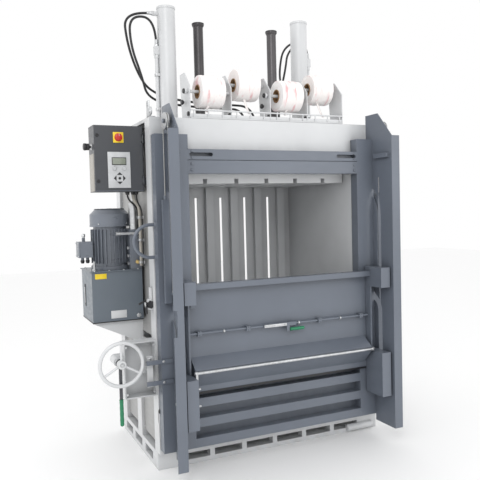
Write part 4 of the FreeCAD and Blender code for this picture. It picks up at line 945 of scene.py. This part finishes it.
def make_terminal_trim():
    """The terminal box's lid and screws, its domed glands and the breather above it."""
    low_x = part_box("terminal_box")[0][0] * 1000
    lid = Shape("motor_grey_paint")
    box_low = 1296
    lid.block((low_x - 9, 380, box_low - 1), (low_x + 1, 480, box_low + 101), 4)
    for level in (box_low + 10, box_low + 90):
        for behind in (390, 470):
            lid.use("zinc_steel").cap_screw(spot(low_x - 9, behind, level), "-x", 5)
    for across in (20, 52):
        lid.use("black_plastic").turned(spot(low_x + across, 430, 1272), "-z",
                                        [(-6, 13), (4, 13), (5, 11.5), (10, 11), (14, 8), (15, 0)], 20)
    lid.use("zinc_steel").turned(spot(low_x + 30, 430, 1420), "z",
                                 [(-2, 9), (6, 9), (7, 12), (20, 12), (24, 9), (26, 0)], 20)
    lid.make("terminal_box_trim", "machine")


def make_tank_trim():
    """The tank's lid bolts, drain plug, bare plates, level glass and seal, and the valve block's plugs."""
    lid_top = 1216
    trim = Shape("zinc_steel")
    for across in (-1100, -1010, -920, -830):
        for behind in (272, 588):
            trim.bolt(spot(across, behind, lid_top), "z", 6)
    for behind in (350, 510):
        trim.bolt(spot(-1108, behind, lid_top), "z", 6)
    trim.turned(spot(-835, 265, 925), "-y", [(0, 15), (4, 15), (4, 11), (14, 11), (15, 10), (15, 0)], 6)
    trim.use("yellow_plastic").block((-1101, 263.6, 1168), (-1030, 265.2, 1200), 0.5)
    trim.use("white_paint").block((-1010, 263.6, 918), (-912, 265.2, 966), 0.5)
    trim.use("black_plastic").block((-1124.5, 480, 980), (-1120.8, 506, 1120), 3)
    trim.use("zinc_steel").block((-1126, 486, 1000), (-1123, 500, 1100), 2)
    trim.use("black_plastic")
    trim.block((-1123, 262.5, 895), (-805, 596, 901.5), 1.5)
    trim.make("tank_trim", "machine")
    block = Shape("zinc_steel")
    across, behind = VALVE
    for level in (1250, 1300, 1350):
        block.turned(spot(across - 36, behind, level), "-x", [(0, 11), (7, 11), (9, 9), (9, 0)], 6)
    block.use("brass").turned(spot(across + 8, behind - 36, 1262), "-y",
                              [(0, 12), (6, 12), (7, 8), (14, 8), (16, 11), (24, 11), (26, 9), (26, 0)], 20)
    block.make("valve_block_trim", "machine")


# ---------------------------------------------------------------- body
def make_body_trim():
    """The body's cover screws, side stop, door catch, right foot and small brackets."""
    screws = Shape("zinc_steel")
    for face, way in ((-787, "-x"), (787, "x")):
        for start in (112, 504):
            for behind in (start, start + 268):
                for level in (170, 460, 770, 850, 1250, 1650, 2050):
                    screws.cap_screw(spot(face, behind, level), way, 4.5)
    screws.make("cover_screws", "machine")
    stop = Shape("white_paint")
    stop.turned(spot(*SIDE_STOP), "-y", [(-26, 36), (0, 36), (1.5, 34), (1.5, 26), (-26, 26)], 6, closed=True)
    stop.block((-822, 48, 1040), (-806, 76, 1120), 3)
    stop.block((-822, 48, 1000), (-804.5, 76, 1034), 3)
    stop.use("black_plastic").turned(spot(*SIDE_STOP), "-y", [(-14, 24), (4, 24), (9, 21), (9, 0)], 6)
    stop.block((-893, 50, 1028), (-840, 60, 1040), 4,
                                    Matrix.Rotation(math.radians(-24), 3, "Y"))
    stop.block((-848, 46, 960), (-838, 64, 1036), 3)
    stop.make("side_stop", "machine")
    catch = Shape("zinc_steel")
    catch.block((-805, -2, 300), (-769, 16, 390), 5)
    catch.use("black_plastic").turned(spot(-787, -2, 378), "-y", [(0, 20), (8, 20), (11, 17), (11, 0)], 30)
    catch.use("zinc_steel").turned(spot(-787, -2, 330), "-y", [(0, 12), (5, 12), (6, 10), (6, 0)], 6)
    catch.make("door_catch", "machine")
    foot = Shape("white_paint")
    foot.turned(spot(556, 43.5, 30), "x", [(0, 0), (0, 20), (4, 26), (206, 26), (212, 20), (212, 0)], 28)
    foot.make("right_foot", "machine")
    ears = Shape("zinc_steel")
    for level, behind in ((2069, -13), (2163, -32)):
        ears.turned(spot(-790, behind + 40, level), "-x",
                    [(0, 26), (6, 26), (8, 23), (8, 12), (12, 11), (12, 0)], 32)
    ears.block((-800, 20, 2130.5), (-760, 70, 2138), 2)
    ears.block((-800, 20, 2130.5), (-793, 70, 2230), 2)
    ears.bolt(spot(-800, 45, 2205), "-x", 8)
    ears.make("roof_corner_bracket", "machine")
    header = Shape("charcoal_paint")
    header.block((664, -4, 1958), (684, 1, 2006), 2)
    header.make("header_bracket", "machine")


def make_lock_trim():
    """The lock's nut and bolts, the clamp's bolts and the wheel's cap."""
    trim = Shape("zinc_steel")
    trim.turned(spot(WHEEL[0], 120, WHEEL[1]), "y",
                [(0, 20), (4, 20), (4, 17), (18, 17), (20, 15), (20, 11.2)], 6)
    for level in (500, 780):
        for across in (-985, -820):
            trim.bolt(spot(across, 15, level), "-y", 7)
    trim.make("lock_trim", "machine")
    wheel = Shape("white_paint")
    wheel.turned(spot(WHEEL[0], -86, WHEEL[1]), "-y", [(0, 24), (3, 23), (5, 18), (5, 12), (2, 11), (2, 0)],
                 36)
    wheel.use("zinc_steel").turned(spot(WHEEL[0], -88, WHEEL[1]), "-y",
                                   [(0, 11), (7, 11), (8.5, 9), (8.5, 0)], 6)
    wheel.make("wheel_cap", "lock_wheel")
    clamp = Shape("zinc_steel")
    for level in (563, 712):
        clamp.bolt(spot(-862, -48, level), "-y", 8)
    clamp.make("clamp_trim", "clamp_bar")


make_camera()
make_hoses()
make_stage()
dress_frame()
make_cylinder_trim()
make_guide_trim()
make_reels()
make_rack_trim()
make_tape_tails()
make_door_trim()
make_hinge_trim()
make_loading_trim()
make_grips()
make_latch_trim()
make_cabinet_trim()
make_cabinet_body_trim()
make_wall_conduits()
make_motor_trim()
make_terminal_trim()
make_tank_trim()
make_body_trim()
make_lock_trim()
